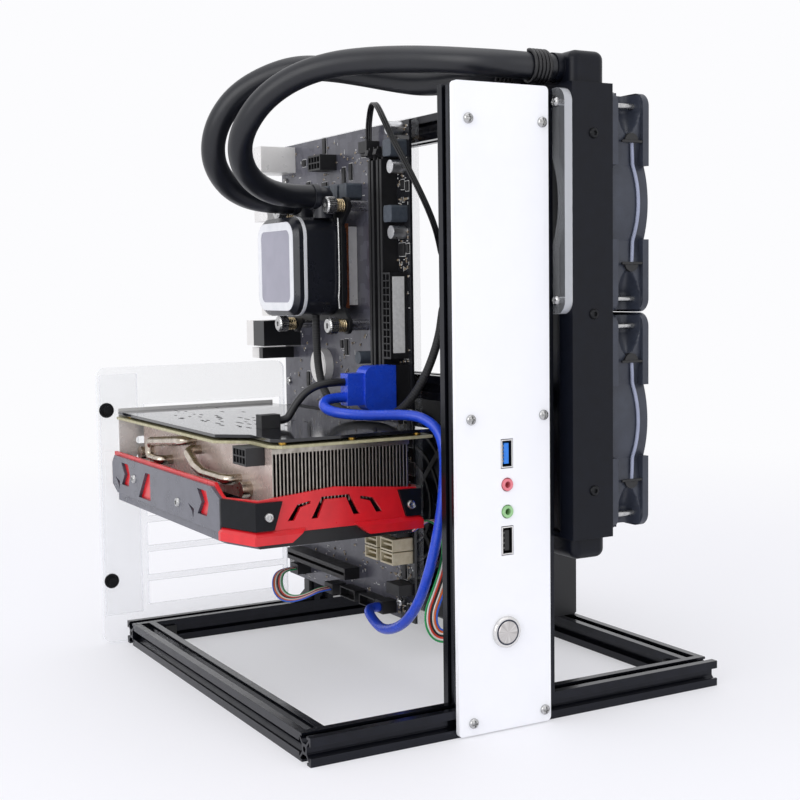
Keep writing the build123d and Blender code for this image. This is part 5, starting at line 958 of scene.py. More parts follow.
# Bright nickel plate: small crisp glints.
PLATED_STEEL = Finish(
    "nickel_plated_steel", "#c9c9c8", "#a9a9aa", roughness=0.24, metallic=1.0, mottle_mm=2.0,
    gloss_spread=0.08, grit_mm=0.2, bump_mm=0.002,
)
# Black oxide: dark heads with a dull metallic edge.
BLACK_OXIDE = Finish(
    "black_oxide_steel", "#141518", "#1e1f22", roughness=0.36, metallic=0.6, mottle_mm=2.0, gloss_spread=0.06,
)
# White acrylic: an even clean white with a faint sheen.
WHITE_SHEET = Finish(
    "white_acrylic_sheet", "#f9fafd", "#f6f7fb", roughness=0.22, mottle_mm=40.0, gloss_spread=0.04,
)
# Polished face of cast acrylic: only a thin veil and reflections.
ACRYLIC = ClearSheet("clear_acrylic_face", "#f3f6fa", cover=0.10, roughness=0.05)
# Sawn edge of cast acrylic: gathers the light into a pale line.
ACRYLIC_EDGE = ClearSheet("clear_acrylic_sawn_edge", "#eef1f6", cover=0.55, roughness=0.25)
# Stamped tin plate: pale, even metal.
SHELL_STEEL = Finish(
    "stamped_tin_steel", "#ecebe9", "#e2e0de", roughness=0.30, metallic=0.2, mottle_mm=14.0,
)
# Turned steel: light fans out from the middle like the hands of a dial, drawn as broad streaks that are
# partly grain and partly painted reflection.
BRUSHED_AND_SHEEN_CAP = RadialBrushAndSheen(
    "radially_brushed_steel_with_painted_sheen", "#dcd9d7", "#b9b5b2", centre_mm=(BUTTON_X, BUTTON_Z), streaks=2.4,
    roughness=0.34,
)
# Solder mask: glossy dark grey with paler square patches over the copper.
SOLDER_MASK = CircuitBoard(
    "solder_mask_over_copper", "#565660", "#4b4b55", strip="#1b1c20", strip_y_mm=127.0, roughness=0.24,
)
# Turned brass: warm glints.
TURNED_BRASS = Finish(
    "turned_brass", "#c9a24e", "#a8823a", roughness=0.3, metallic=1.0, mottle_mm=1.5, gloss_spread=0.06,
)
# Moulded nylon: matt black with a slight grain.
BLACK_NYLON = Finish(
    "black_moulded_nylon", "#141416", "#1b1b1e", roughness=0.45, gloss_spread=0.07, bump_mm=0.01,
)
# Moulded nylon, undyed: pale matt blocks.
CREAM_NYLON = Finish("cream_moulded_nylon", "#e3d9bd", "#d3c7a6", roughness=0.45, bump_mm=0.01)
# Machined copper: a warm red edge.
COPPER = Finish("machined_copper", "#b87350", "#96583a", roughness=0.3, metallic=1.0, gloss_spread=0.08)
# Moulded satin ABS: deep black with broad soft highlights.
PUMP_BLACK = Finish(
    "black_satin_plastic", "#20222a", "#1b1d24", roughness=0.30, mottle_mm=12.0, bump_mm=0.004,
)
# Painted satin ABS: an even grey face without glare.
PUMP_GREY = Finish(
    "grey_satin_plastic", "#a3a2b0", "#9d9caa", roughness=0.35, mottle_mm=14.0, gloss_spread=0.04,
    bump_mm=0.003,
)
# Painted aluminium: black with little reflection; its blue tint is a painted cast of the bluish shade around
# it.
RADIATOR_BLACK = Finish(
    "black_painted_aluminium", "#0f121b", "#0c0e16", roughness=0.34, mottle_mm=8.0, grit_mm=0.5,
    bump_mm=0.008, specular=0.2,
)
# Moulded plastic filled with glass fibre: slate grey, slightly grainy.
FAN_GREY = Finish(
    "dark_grey_glass_filled_plastic", "#353a46", "#2d313c", roughness=0.36, mottle_mm=9.0, gloss_spread=0.06,
    grit_mm=0.35, bump_mm=0.01,
)
# Routed edge of a circuit board: a pale olive line.
CARD_GREEN = Finish("bare_circuit_board_edge", "#b9b494", "#a19b78", gloss_spread=0.06)
# Black lacquer: a dark mirror at low angles.
PLATE_GLOSS = Finish(
    "glossy_black_lacquer", "#101117", "#14161d", roughness=0.08, mottle_mm=20.0, gloss_spread=0.02, coat=0.4,
)
# Folded aluminium: bright thin lines between dark gaps.
FIN_ALUMINIUM = Finish(
    "folded_aluminium_fins", "#b7b1aa", "#9b958d", roughness=0.34, metallic=1.0, mottle_mm=4.0,
    gloss_spread=0.08, bump_mm=0.004,
)
# Plated pipe: warm silver with long highlights.
NICKEL_PIPE = Finish(
    "nickel_plated_copper_pipe", "#cfc5b8", "#b0a698", roughness=0.24, metallic=1.0, mottle_mm=6.0,
    gloss_spread=0.07,
)
# Lacquered ABS: a full red under a soft coat.
RED_LACQUER = Finish(
    "red_lacquered_plastic", "#e01b27", "#cd1722", roughness=0.32, mottle_mm=14.0, bump_mm=0.003, coat=0.15,
)
# Moulded satin ABS: mid grey with a wide sheen.
TRIM_GREY = Finish(
    "dark_grey_satin_plastic", "#5a5b66", "#53545e", roughness=0.25, mottle_mm=10.0, gloss_spread=0.04,
    bump_mm=0.003,
)
# Wrinkle paint: rough black that scatters the light.
CASE_BLACK = Finish(
    "black_wrinkle_coat", "#121316", "#191a1d", roughness=0.48, mottle_mm=4.0, gloss_spread=0.06, grit_mm=0.6,
    bump_mm=0.03,
)
# Extruded rubber: smooth black with one soft highlight along its length.
HOSE_RUBBER = Finish(
    "smooth_black_rubber", "#13151b", "#181a21", roughness=0.36, mottle_mm=18.0, grit_mm=0.4, bump_mm=0.006,
)
# Extruded PVC: shiny bright blue.
BLUE_PVC = Finish(
    "glossy_blue_pvc", "#2450dc", "#1d45c8", roughness=0.28, mottle_mm=9.0, grit_mm=0.4, bump_mm=0.004,
)
# Extruded PVC: soft black.
BLACK_PVC = Finish("black_pvc", "#131316", "#1a1a1d", mottle_mm=6.0, gloss_spread=0.06)
# Polished steel: mirrors the white studio.
POLISHED_STEEL = Finish(
    "polished_steel_bezel", "#e6e5e3", "#d9d8d6", roughness=0.14, metallic=1.0, mottle_mm=6.0,
    gloss_spread=0.04,
)
# Textured ABS: flat black beside the red.
CORNER_BLACK = Finish(
    "black_textured_plastic", "#0f1117", "#0c0e12", mottle_mm=6.0, bump_mm=0.006, specular=0.2,
)
# Moulded body in a stamped shell: black, with a pale metal end.
CONNECTOR = TwoTone("black_body_with_tin_shell", "#121316", "#e6e4e1", plane_y_mm=283.0)
# Extruded silicone: a pale line on the dark ring.
PALE_WIRE = Finish("pale_grey_silicone_wire", "#9aa0b6", "#8e94aa", mottle_mm=6.0)
# Painted shade: a thin dark ring standing in for the shade in the gap between the bezel and the cap.
GAP_SHADE_RING = Finish("painted_gap_shade_ring", "#2b3145", "#242a3b")
# Pressed ferrite: blue-grey, powdery blocks.
CHOKE_SLATE = Finish(
    "pressed_ferrite", "#4c545e", "#3f464f", roughness=0.45, mottle_mm=2.0, gloss_spread=0.06, bump_mm=0.02,
)
# Drawn aluminium: bright tops.
CAN_ALUMINIUM = Finish(
    "drawn_aluminium_can", "#d9dadc", "#c3c4c7", roughness=0.3, metallic=0.9, gloss_spread=0.06,
)
# Frosted acrylic: an even white band.
WHITE_DIFFUSER = Finish("white_frosted_acrylic", "#f0f1f4", "#e6e8ec", mottle_mm=8.0)
# Zinc-plated wire: warm coils.
GILT_SPRING = Finish(
    "zinc_plated_spring_wire", "#d6c6a6", "#b7a27c", roughness=0.26, metallic=1.0, mottle_mm=1.0,
    gloss_spread=0.06,
)
# Moulded epoxy: matt black chips.
EPOXY = Finish(
    "moulded_black_epoxy", "#1b1b1d", "#131315", roughness=0.5, mottle_mm=2.0, gloss_spread=0.06, grit_mm=0.2,
    bump_mm=0.006,
)
# Fired ceramic: small tan grains.
CERAMIC = Finish("fired_tan_ceramic", "#a5937a", "#6f6455", roughness=0.5, mottle_mm=1.5)
# Screen print: thin flat white lines.
WHITE_PRINT = Finish(
    "white_screen_print", "#e6e6e4", "#d3d3d1", roughness=0.55, mottle_mm=2.0, gloss_spread=0.04,
)
# Painted shade: near-black, standing in for the shade inside deep pressings that no light comes back out of.
PAINTED_SHADE_SLOTS = Finish("painted_pressing_shade", "#060607", "#0a0a0b", roughness=0.7, specular=0.2)
# Moulded nylon in the ports' usual colours: clear even tones.
BLUE_MOULDED = Finish("blue_moulded_nylon", "#2f8af0", "#287be0", roughness=0.34)
PINK_MOULDED = Finish("pink_moulded_nylon", "#ee8c96", "#e27b86")
GREEN_MOULDED = Finish("green_moulded_nylon", "#a3d198", "#92c287")
# Plated steel with a warm tint: pale and soft beside the fins.
CHAMPAGNE_PLATE = Finish(
    "champagne_plated_steel", "#d0c0b8", "#c2b1a8", roughness=0.28, metallic=0.4, mottle_mm=8.0,
)
# Woven nylon: a dark lead with painted shade in the weave's hollows and a fine broken painted sheen on its
# crossings.
SLEEVE = Braid("woven_nylon_sleeve", "#2b2b2e", "#0b0b0c")
# Extruded PVC wires side by side: bright thin stripes along the ribbon.
RAINBOW = WireBundle(
    "rainbow_ribbon", ("#169a55", "#f1efe9", "#dc402c", "#17171a", "#efece6", "#ea6f2c", "#2f68de"),
)


@dataclass(frozen=True)
class Cord:
    """A hose, lead or ribbon: round strands side by side, carried along the spline of a route.

    At its start a flat cord's thin way leans to a given direction. Plugs are the solids that go with it.
    """

    name: str
    finish: Look
    slot: str
    width: float
    bend: Bend
    route: tuple[Point, ...]
    strands: int = 1
    sides: int = 28
    lean: Point = (0.0, 0.0, 1.0)
    plugs: tuple[str, ...] = ()
    sharp_deg: float = 60.0

    def path(self) -> np.ndarray:
        """Stations along the cord, in metres."""
        return spline_path(self.name, self.route)

    def build(self) -> None:
        """Makes the cord, each strand with its own U."""
        path = self.path()
        step = self.width / self.strands
        tubes = []
        for number in range(self.strands):
            shift = step * (number - (self.strands - 1) / 2)
            strand = tube(path, ring_section(step / 2, self.sides, shift), self.lean)
            if self.strands > 1:
                strand.uv[..., 0] = (number + 0.5) / self.strands
            tubes.append(strand)
        whole = Shape.join(tubes)
        obj = whole.piece(f"{self.name}_dressed", self.finish, self.slot, sharp_deg=self.sharp_deg)
        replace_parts(obj, self.name)


@dataclass(frozen=True)
class Cords:
    """Every hose, lead and ribbon; routes in drawing millimetres, close to those of the solids."""

    hoses: tuple[Cord, ...] = (
        Cord("hose_front", HOSE_RUBBER, "hose_rubber", 14.6, Bend.STIFF, (
            (153, 6, 355.5), (138.5, 6, 355.5), (124, 9.5, 356.2), (111.5, 18, 357.5), (101.5, 33, 360),
            (91, 53, 362.8), (79, 76, 364.8), (66, 96.5, 364.5), (51.5, 114, 359.2), (39, 128, 348.5),
            (32.5, 140, 335), (32.3, 150, 323.5), (37.5, 159, 313), (47, 166.5, 304.5), (60, 173, 299),
            (76, 178, 296.5), (91.9, 178, 296.5),
        )),
        Cord("hose_back", HOSE_RUBBER, "hose_rubber", 14.6, Bend.STIFF, (
            (153, 40, 355.5), (138.5, 40, 355.5), (127, 46, 354.2), (118.5, 58, 353), (112, 74, 354),
            (105, 92, 358), (95, 110, 363), (82, 127, 367.5), (67, 142.5, 369.5), (52.5, 155.5, 364.5),
            (39.5, 166, 355.5), (31.5, 174, 343.5), (28.5, 181, 330.5), (30.5, 187, 318.5),
            (37, 193, 309.5), (46.5, 199, 302), (59.5, 204.5, 297), (75.5, 207.5, 294.5),
            (91.9, 207.5, 294.5),
        )),
    )
    leads: tuple[Cord, ...] = (
        Cord("usb_cable", BLUE_PVC, "cable_blue", 6.0, Bend.MEDIUM, (
            (81.9, 117, 174.5), (72, 117, 174.5), (64.5, 111.5, 171.5), (63.5, 101.5, 168.5),
            (70, 91.5, 166.8), (82, 84.5, 166), (95, 78, 166.3), (106, 68.5, 165.5), (111.5, 58, 158.5),
            (112, 52.5, 146), (110.5, 51, 128), (108, 51.5, 108), (104.2, 53, 88), (101.5, 58, 70),
            (100.8, 67, 55.5), (100.3, 80, 43.5), (100.2, 95, 36.5), (101, 109, 33.5), (102.2, 120, 34.8),
            (103, 128, 37.6), (104.6, 133.5, 39.3), (108.2, 137.2, 40), (113.9, 137.2, 40),
        ), plugs=("plugs",)),
        Cord("usb_lead", BLACK_PVC, "cable_black", 4.6, Bend.LIMP, (
            (81.9, 117, 183.5), (74, 117, 183.5), (65.5, 118.5, 182.5), (58.5, 121, 178.5),
            (53.5, 123.5, 172), (50.2, 124.6, 166.2), (47.5, 125, 162.3), (42, 125, 162.3),
        )),
        Cord("sleeved_lead", SLEEVE, "cable_black", 5.0, Bend.LIMP, (
            (99, 189, 222), (99, 189, 211), (98, 186, 199), (96, 180, 187.5), (94, 171, 177),
            (94, 160, 168.5), (96.5, 148, 163.5), (100, 136, 161.2), (103.5, 124, 160.9),
            (107, 112.5, 161.3), (111.5, 103, 165.5), (117, 96, 174.5), (122.5, 91.5, 186),
            (127.5, 89.5, 199), (132.5, 91, 211), (137.5, 96.5, 220.5), (143.5, 105, 226),
            (151, 114.5, 227.5), (160.5, 121, 226), (170.5, 123.5, 221.5), (178.5, 121.5, 215.5),
            (184.3, 116, 208), (184.3, 108.8, 208),
        )),
        Cord("fan_lead", BLACK_PVC, "cable_black", 4.0, Bend.LIMP, (
            (119.4, 151.5, 329), (119.4, 151.5, 337), (118.5, 148, 344.5), (116, 141, 349.5),
            (113, 132, 350.5), (110.8, 123, 346.5), (110.3, 115, 338), (112, 108, 326.5),
            (116, 101.5, 313.5), (120.5, 96, 300), (125.5, 92.5, 287), (131, 92.5, 275),
            (136.5, 97, 265.5), (142.5, 105, 259.5), (150, 113.5, 256.5), (159, 120, 254.5),
            (168.5, 123, 251), (177.5, 121.5, 246), (183.5, 116, 240), (183.5, 108.8, 240),
        ), strands=3, sides=10),
        Cord("ribbon_cable", RAINBOW, "ribbon", 7.8, Bend.LIMP, (
            (115.5, 18, 54.3), (115.5, 27, 54.3), (113.5, 35.5, 49.5), (108, 41.5, 43.5),
            (102.3, 45.5, 42.8), (99.2, 48, 48.5), (99.6, 49, 56.5), (103, 49, 64), (107.8, 51, 71.5),
            (112.5, 53.5, 79.5), (117, 58, 88.5), (120.5, 66, 97), (121.5, 76, 101.5), (120.6, 86, 101.8),
            (118.6, 95.5, 97.5), (117, 105, 91), (117, 113, 91),
        ), strands=len(RAINBOW.colours), sides=10, lean=(-1.0, 0.0, 0.0)),
        Cord("jumper_ribbon", RAINBOW, "ribbon", 7.8, Bend.LIMP, (
            (113.9, 262, 42.5), (106.5, 262, 42.5), (99.5, 257.5, 40.5), (94.5, 249, 36), (92, 239, 31.8),
            (93, 229.5, 29.9), (96.5, 220.5, 31), (101.5, 213, 34.5), (107, 208, 38.5),
            (113.9, 208, 38.5),
        ), strands=len(RAINBOW.colours), sides=10),
    )

    def build(self) -> None:
        """Makes every cord in its own finish."""
        for cord in self.hoses + self.leads:
            cord.build()


@dataclass(frozen=True)
class PanHeads:
    """Domed heads with a cross recess on every pan screw; each sits where the frame has its screw."""

    radius: float = 2.8
    height: float = 2.2
    rim: float = 0.5
    bulge: float = 0.98
    shank: float = 1.45
    recess: float = 1.1
    arm: float = 1.75
    half_width: float = 0.42
    soft: float = 0.15
    pole: float = 0.04
    rows: int = 14
    sides: int = 56

    def build(self) -> None:
        """Makes all the screws as one piece."""
        screws = [self.screw(low, high) for low, high in solids("pan_screws")]
        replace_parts(Shape.join(screws).piece("pan_heads", PLATED_STEEL, "screw_steel"), "pan_screws")

    def screw(self, low: np.ndarray, high: np.ndarray) -> Shape:
        """One screw whose head faces down its longest axis.

        The head's height is a flattened dome of the radius, less a recess where a point is near one of two
        crossed lines and within the arm's reach.

        Args:
            low: Lowest corner of the screw in drawing millimetres.
            high: Highest corner.

        Returns:
            The screw.
        """
        along = int(np.argmax(high - low))
        under, end = low[along] + self.height, high[along]
        turn = full_turn(self.sides)
        radius = np.linspace(self.radius, self.pole, self.rows)[:, None]
        x, y = radius * np.cos(turn), radius * np.sin(turn)
        dome = self.rim + (self.height - self.rim) * np.sqrt(1 - self.bulge * (radius / self.radius) ** 2)
        slot = np.clip((self.half_width - np.minimum(abs(x), abs(y))) / self.soft + 0.5, 0, 1)
        reach = np.clip((self.arm - radius) / self.soft + 0.5, 0, 1)
        head = np.stack([x, y, under - dome + self.recess * slot * reach], axis=-1)
        stem = swept([(self.pole, end), (self.shank, end), (self.shank, under), (self.radius, under)], turn)
        centre = (low + high) / 2
        centre[along] = 0.0
        points = list(Axis)[along].turn(np.concatenate([stem, head])) + centre
        return Shape.grid(at(points), cap=True)


@dataclass(frozen=True)
class PumpDress:
    """White ring of the pump's face, white band round its side, thumb screws, their springs and a clip."""

    side_y: float = 60.0
    side_z: float = 62.0
    corner: float = 13.0
    bevel: float = 3.0
    ring_inset: float = 2.7
    ring_width: float = 5.2
    ring_proud: float = 0.25
    band_width: float = 2.2
    band_proud: float = 0.3
    knurls: int = 26
    knurl_steps: int = 4
    knurl_depth: float = 0.045
    thumb_radius: float = 5.2
    thumb_height: float = 7.0
    chamfer: float = 0.9
    dimple_radii: Pair = (1.6, 1.7)
    dimple_depth: float = 1.4
    pole: float = 0.04
    shank: float = 2.0
    post_radius: float = 3.5
    spring_length: float = 6.0
    spring_radius: float = 3.7
    spring_wire: float = 0.5
    spring_turns: float = 4.0
    spring_stations: int = 90
    spring_sides: int = 8
    clip_wire: float = 0.75
    clip_sides: int = 10
    clip: tuple[Point, ...] = (
        (107.5, 171.8, 283.0), (107.5, 171.2, 274.0), (107.5, 171.0, 260.0), (107.5, 171.0, 246.0),
        (107.2, 170.9, 237.0), (106.4, 170.6, 231.5), (107.4, 170.9, 226.0),
    )

    def build(self) -> None:
        """Makes the ring, the band, the screws, the springs and the wire clip."""
        self.bands()
        screws, springs = [], []
        for low, high in solids("pump_screws"):
            centre = np.array([0.0, (low[1] + high[1]) / 2, (low[2] + high[2]) / 2])
            screws.append(self.thumb(low[0], high[0], centre))
            springs.append(self.spring(low[0] + self.thumb_height, centre))
        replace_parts(Shape.join(screws).piece("thumb_screws", PLATED_STEEL, "screw_steel"), "pump_screws")
        Shape.join(springs).piece("thumb_springs", GILT_SPRING, "brass")
        section = ring_section(self.clip_wire, self.clip_sides)
        clip = tube(spline_path("wire_clip", self.clip), section, (1.0, 0.0, 0.0))
        clip.piece("wire_clip", PLATED_STEEL, "screw_steel")

    def bands(self) -> None:
        """The ring set into the face and the band round the foot of the cap, each a flat loop."""
        low, high = node_box("pump_cap")
        middle = (low + high) / 2
        half = np.array([self.side_y, self.side_z]) / 2
        inset = self.bevel + self.ring_inset
        width, proud = self.ring_width / 2, self.ring_proud
        section = np.array([(-width, proud), (-width, -proud), (width, -proud), (width, proud)])
        face = np.array([low[0], middle[1], middle[2]])
        ring = loop_band(face, half - inset, self.corner - inset, section)
        ring.piece("pump_ring", WHITE_DIFFUSER, "pump_grey")
        wide, out = self.band_width / 2, self.band_proud
        section = np.array([(-out, -wide), (out, -wide), (out, wide), (-out, wide)])
        band = loop_band(np.array([high[0], middle[1], middle[2]]), half, self.corner, section)
        band.piece("pump_band", WHITE_DIFFUSER, "pump_grey")

    def thumb(self, front: float, back: float, centre: np.ndarray) -> Shape:
        """One knurled screw: its radius follows a profile, and on the head's rim a cosine round the turn.

        Args:
            front: X of the head's face.
            back: X of the post's end.
            centre: Where the axis lies, with X at 0.

        Returns:
            The screw.
        """
        neck = front + self.thumb_height
        foot = neck + self.spring_length
        dimple = front + self.dimple_depth
        inner, outer = self.dimple_radii
        rim, cut = self.thumb_radius, self.chamfer
        profile = [
            (self.pole, dimple), (inner, dimple), (outer, front), (rim - cut, front), (rim, front + cut),
            (rim, neck - cut), (rim - cut, neck), (self.shank, neck), (self.shank, foot),
            (self.post_radius, foot), (self.post_radius, back), (self.pole, back),
        ]
        turn = full_turn(self.knurl_steps * self.knurls)
        knurled = np.isclose(np.array(profile)[:, :1], rim)
        wave = 1 + self.knurl_depth * knurled * np.cos(self.knurls * turn)
        local = swept(profile, turn)
        local[..., :2] *= wave[..., None]
        return Shape.grid(at(Axis.X.turn(local) + centre), cap=True)

    def spring(self, front: float, centre: np.ndarray) -> Shape:
        """One coil spring: a helix from the head down to the bracket, with a round wire.

        Args:
            front: X of the head's underside.
            centre: Where the axis lies, with X at 0.

        Returns:
            The spring.
        """
        share = np.linspace(0, 1, self.spring_stations)
        turn = 2 * math.pi * self.spring_turns * share
        rise = front + self.spring_wire + (self.spring_length - 2 * self.spring_wire) * share
        ring = self.spring_radius
        helix = np.stack([rise, ring * np.cos(turn), ring * np.sin(turn)], axis=-1) + centre
        return tube(at(helix), ring_section(self.spring_wire, self.spring_sides), (1.0, 0.0, 0.0))


@dataclass(frozen=True)
class Fasteners:
    """Button heads with a round socket on the radiator's side and on the card's shroud."""

    radius: float = 2.9
    height: float = 1.5
    rim: float = 0.4
    sunk: float = 0.2
    shoulder: Pair = (0.8, 0.85)
    crown: float = 0.55
    socket_radius: float = 1.3
    socket_depth: float = 1.0
    socket_taper: float = 0.95
    pole: float = 0.02
    sides: int = 24
    radiator_x: float = 168.5
    radiator_z: tuple[float, ...] = (319.7, 223.2, 127.0)
    card_front: tuple[Pair, ...] = ((8.8, 116.6), (97.0, 115.9))
    card_side: tuple[Pair, ...] = ((240.0, 118.5), (160.0, 114.0))
    reach: float = 60.0

    def build(self) -> None:
        """Seats each head on the face in front of it."""
        x = self.radiator_x
        heads = []
        for z in self.radiator_z:
            heads.append(self.head(seat("radiator_frame", (x, -self.reach, z), (0, 1, 0)), Axis.Y))
        Shape.join(heads).piece("radiator_screws", BLACK_OXIDE, "screw_black")
        heads = []
        for x, z in self.card_front:
            heads.append(self.head(seat("gpu_trim", (x, 0.0, z), (0, 1, 0)), Axis.Y))
        for y, z in self.card_side:
            heads.append(self.head(seat("gpu_trim", (-self.reach, y, z), (1, 0, 0)), Axis.X))
        Shape.join(heads).piece("card_screws", PLATED_STEEL, "screw_steel")

    def head(self, place: np.ndarray, axis: Axis) -> Shape:
        """One rounded head: a profile from the seat over the crown into the socket, swept once round.

        Args:
            place: Where the axis meets the seat, in drawing millimetres.
            axis: The axis, against which the head stands out.

        Returns:
            The head.
        """
        top, floor = -self.height, self.socket_depth - self.height
        profile = [
            (self.radius, self.sunk), (self.radius, -self.rim),
            (self.radius * self.shoulder[0], top * self.shoulder[1]), (self.radius * self.crown, top),
            (self.socket_radius, top), (self.socket_radius * self.socket_taper, floor), (self.pole, floor),
        ]
        points = axis.turn(swept(profile, full_turn(self.sides))) + place
        return Shape.grid(at(points), cap=True)


@dataclass
class BoardDress:
    """Small parts soldered to the motherboard, its blank label and its fine printed strokes."""

    margin: float = 2.0
    edge_zone: float = 24.0
    edge_share: float = 0.5
    part_edge: float = 0.12
    chips: int = 110
    chip_sizes: tuple[Pair, ...] = ((3.0, 5.0), (5.0, 4.0), (7.0, 7.0), (4.0, 10.0))
    chip_height: float = 1.1
    chip_gap: float = 0.8
    ceramics: int = 900
    ceramic_sizes: tuple[Pair, ...] = ((1.6, 0.8), (0.8, 1.6), (1.2, 0.8), (2.0, 1.3))
    ceramic_height: float = 0.7
    ceramic_gap: float = 0.25
    solder_height: float = 0.5
    solder_past: float = 1.35
    solder_within: float = 0.9
    strokes: int = 700
    stroke_sizes: tuple[Pair, ...] = ((3.2, 0.5), (0.5, 3.2), (1.8, 0.5), (0.5, 1.8), (1.0, 1.0))
    stroke_height: float = 0.06
    stroke_gap: float = 0.1
    frame_gap: float = 0.6
    frame_line: float = 0.35
    label_x: Pair = (113.6, 121.8)
    label_z: Pair = (199.5, 245.5)
    label_thick: float = 0.16
    label_edge: float = 0.05
    main_socket_z: float = 196.0
    carried: tuple[str, ...] = (
        "cpu_socket", "dimm_slots", "board_sockets", "pcie_slots", "coin_cell", "power_parts", "io_ports",
        "pump_bracket", "pump_screws", "pan_screws", "dimm_latch_front", "dimm_latch_rear",
    )
    face: float = field(init=False)
    low: np.ndarray = field(init=False)
    high: np.ndarray = field(init=False)
    taken: np.ndarray = field(init=False)

    def __post_init__(self) -> None:
        """Reads the board's face, its free span and the places of the larger parts from the frame."""
        low, high = node_box("motherboard")
        self.face = low[0]
        self.low, self.high = low[1:] + self.margin, high[1:] - self.margin
        boxes = [box for node in self.carried for box in solids(node)]
        self.taken = np.array([np.concatenate([low[1:], high[1:]]) for low, high in boxes])

    def build(self) -> None:
        """Scatters the parts with a fixed seed over what the larger parts leave free."""
        draw = np.random.default_rng(SEED)
        chips = self.scatter(draw, self.chips, self.chip_sizes, self.chip_gap)
        self.taken = np.concatenate([self.taken, self.outline(chips, self.chip_gap)])
        self.parts(chips, self.chip_height).piece("board_chips", EPOXY, "socket_black")
        ceramics = self.scatter(draw, self.ceramics, self.ceramic_sizes, self.ceramic_gap)
        self.parts(ceramics, self.ceramic_height).piece("board_ceramics", CERAMIC, "socket_cream")
        longer = (ceramics[:, 2] > ceramics[:, 3])[:, None]
        ends = ceramics.copy()
        ends[:, 2:] *= np.where(
            longer, (self.solder_past, self.solder_within), (self.solder_within, self.solder_past),
        )
        self.parts(ends, self.solder_height).piece("board_solder", CAN_ALUMINIUM, "port_steel")
        strokes = [self.frame_stroke(chips, side) for side in range(4)]
        strokes.append(self.scatter(draw, self.strokes, self.stroke_sizes, self.stroke_gap))
        prints = self.parts(np.concatenate(strokes), self.stroke_height)
        prints.piece("board_strokes", WHITE_PRINT, "panel_white")
        self.label().piece("board_label", WHITE_PRINT, "panel_white")

    def label(self) -> Shape:
        """A blank label on the front of the main power socket.

        Returns:
            The label as a thin block.
        """
        corners = [box[0] for box in solids("board_sockets")]
        main = min(corners, key=lambda corner: abs(corner[2] - self.main_socket_z))
        centre = (np.mean(self.label_x), main[1], np.mean(self.label_z))
        size = (np.ptp(self.label_x), self.label_thick, np.ptp(self.label_z))
        return blocks(centre, size, self.label_edge)

    def frame_stroke(self, rows: np.ndarray, side: int) -> np.ndarray:
        """One printed line of the frame round each part.

        Args:
            rows: The parts, as scatter gives them.
            side: 0 and 1 run along Z, 2 and 3 along Y.

        Returns:
            The lines, as rows of the same kind.
        """
        across = 0 if side < 2 else 1
        stroke = rows.copy()
        reach = rows[:, 2 + across] / 2 + self.frame_gap
        stroke[:, across] += reach * (1 if side % 2 else -1)
        stroke[:, 2 + across] = self.frame_line
        stroke[:, 3 - across] += 2 * self.frame_gap
        return stroke

    def outline(self, rows: np.ndarray, gap: float) -> np.ndarray:
        """Lowest Y and Z and highest Y and Z of each part with its clearance."""
        half = rows[:, 2:] / 2 + gap
        return np.concatenate([rows[:, :2] - half, rows[:, :2] + half], axis=1)

    def scatter(
        self, draw: np.random.Generator, count: int, sizes: tuple[Pair, ...], gap: float,
    ) -> np.ndarray:
        """Places parts at random where they are clear of larger parts, many of them by the front edge.

        Args:
            draw: The seeded source of places.
            count: How many places to try.
            sizes: Sizes along Y and Z to pick from.
            gap: Clearance round each part in millimetres.

        Returns:
            Rows of centre Y, centre Z, size Y and size Z.
        """
        places = draw.uniform(self.low, self.high, (count, 2))
        near = draw.random(count) < self.edge_share
        squeeze = self.edge_zone / (self.high - self.low)[0]
        places[near, 0] = self.low[0] + (places[near, 0] - self.low[0]) * squeeze
        size = np.array(sizes)[draw.integers(len(sizes), size=count)]
        rows = np.concatenate([places, size], axis=1)
        start, stop = np.split(self.outline(rows, gap)[:, None], 2, axis=2)
        apart = (stop < self.taken[None, :, :2]) | (start > self.taken[None, :, 2:])
        return rows[apart.any(axis=2).all(axis=1)]

    def parts(self, rows: np.ndarray, height: float) -> Shape:
        """Blocks of one height on the board's face.

        Args:
            rows: The parts, as scatter gives them.
            height: How far they stand out.

        Returns:
            All the blocks.
        """
        deep = np.full(len(rows), height)
        centres = np.column_stack([self.face - deep / 2, rows[:, :2]])
        return blocks(centres, np.column_stack([deep, rows[:, 2:]]), min(self.part_edge, height / 3))


@dataclass(frozen=True)
class CardDress:
    """Near-black blocks laid on the card's back plate in loose groups, as painted shade for pressed slots."""

    slots: int = 46
    zone_x: Pair = (14.0, 70.0)
    zone_y: Pair = (120.0, 275.0)
    slot_width: float = 1.3
    slot_height: float = 0.12
    slot_edge: float = 0.04
    slot_lengths: tuple[float, ...] = (3.0, 5.0, 7.0)

    def build(self) -> None:
        """Lays the painted-shade slots flat on the plate with a fixed seed."""
        top = node_box("gpu_backplate")[1][2]
        draw = np.random.default_rng(SEED + 1)
        x = draw.uniform(*self.zone_x, self.slots)
        y = draw.uniform(*self.zone_y, self.slots)
        length = draw.choice(self.slot_lengths, self.slots)
        each = np.ones(self.slots)
        sizes = np.stack([each * self.slot_width, length, each * self.slot_height], axis=1)
        shape = blocks(np.stack([x, y, each * top], axis=1), sizes, self.slot_edge)
        shape.piece("plate_slot_shades", PAINTED_SHADE_SLOTS, "card_black")


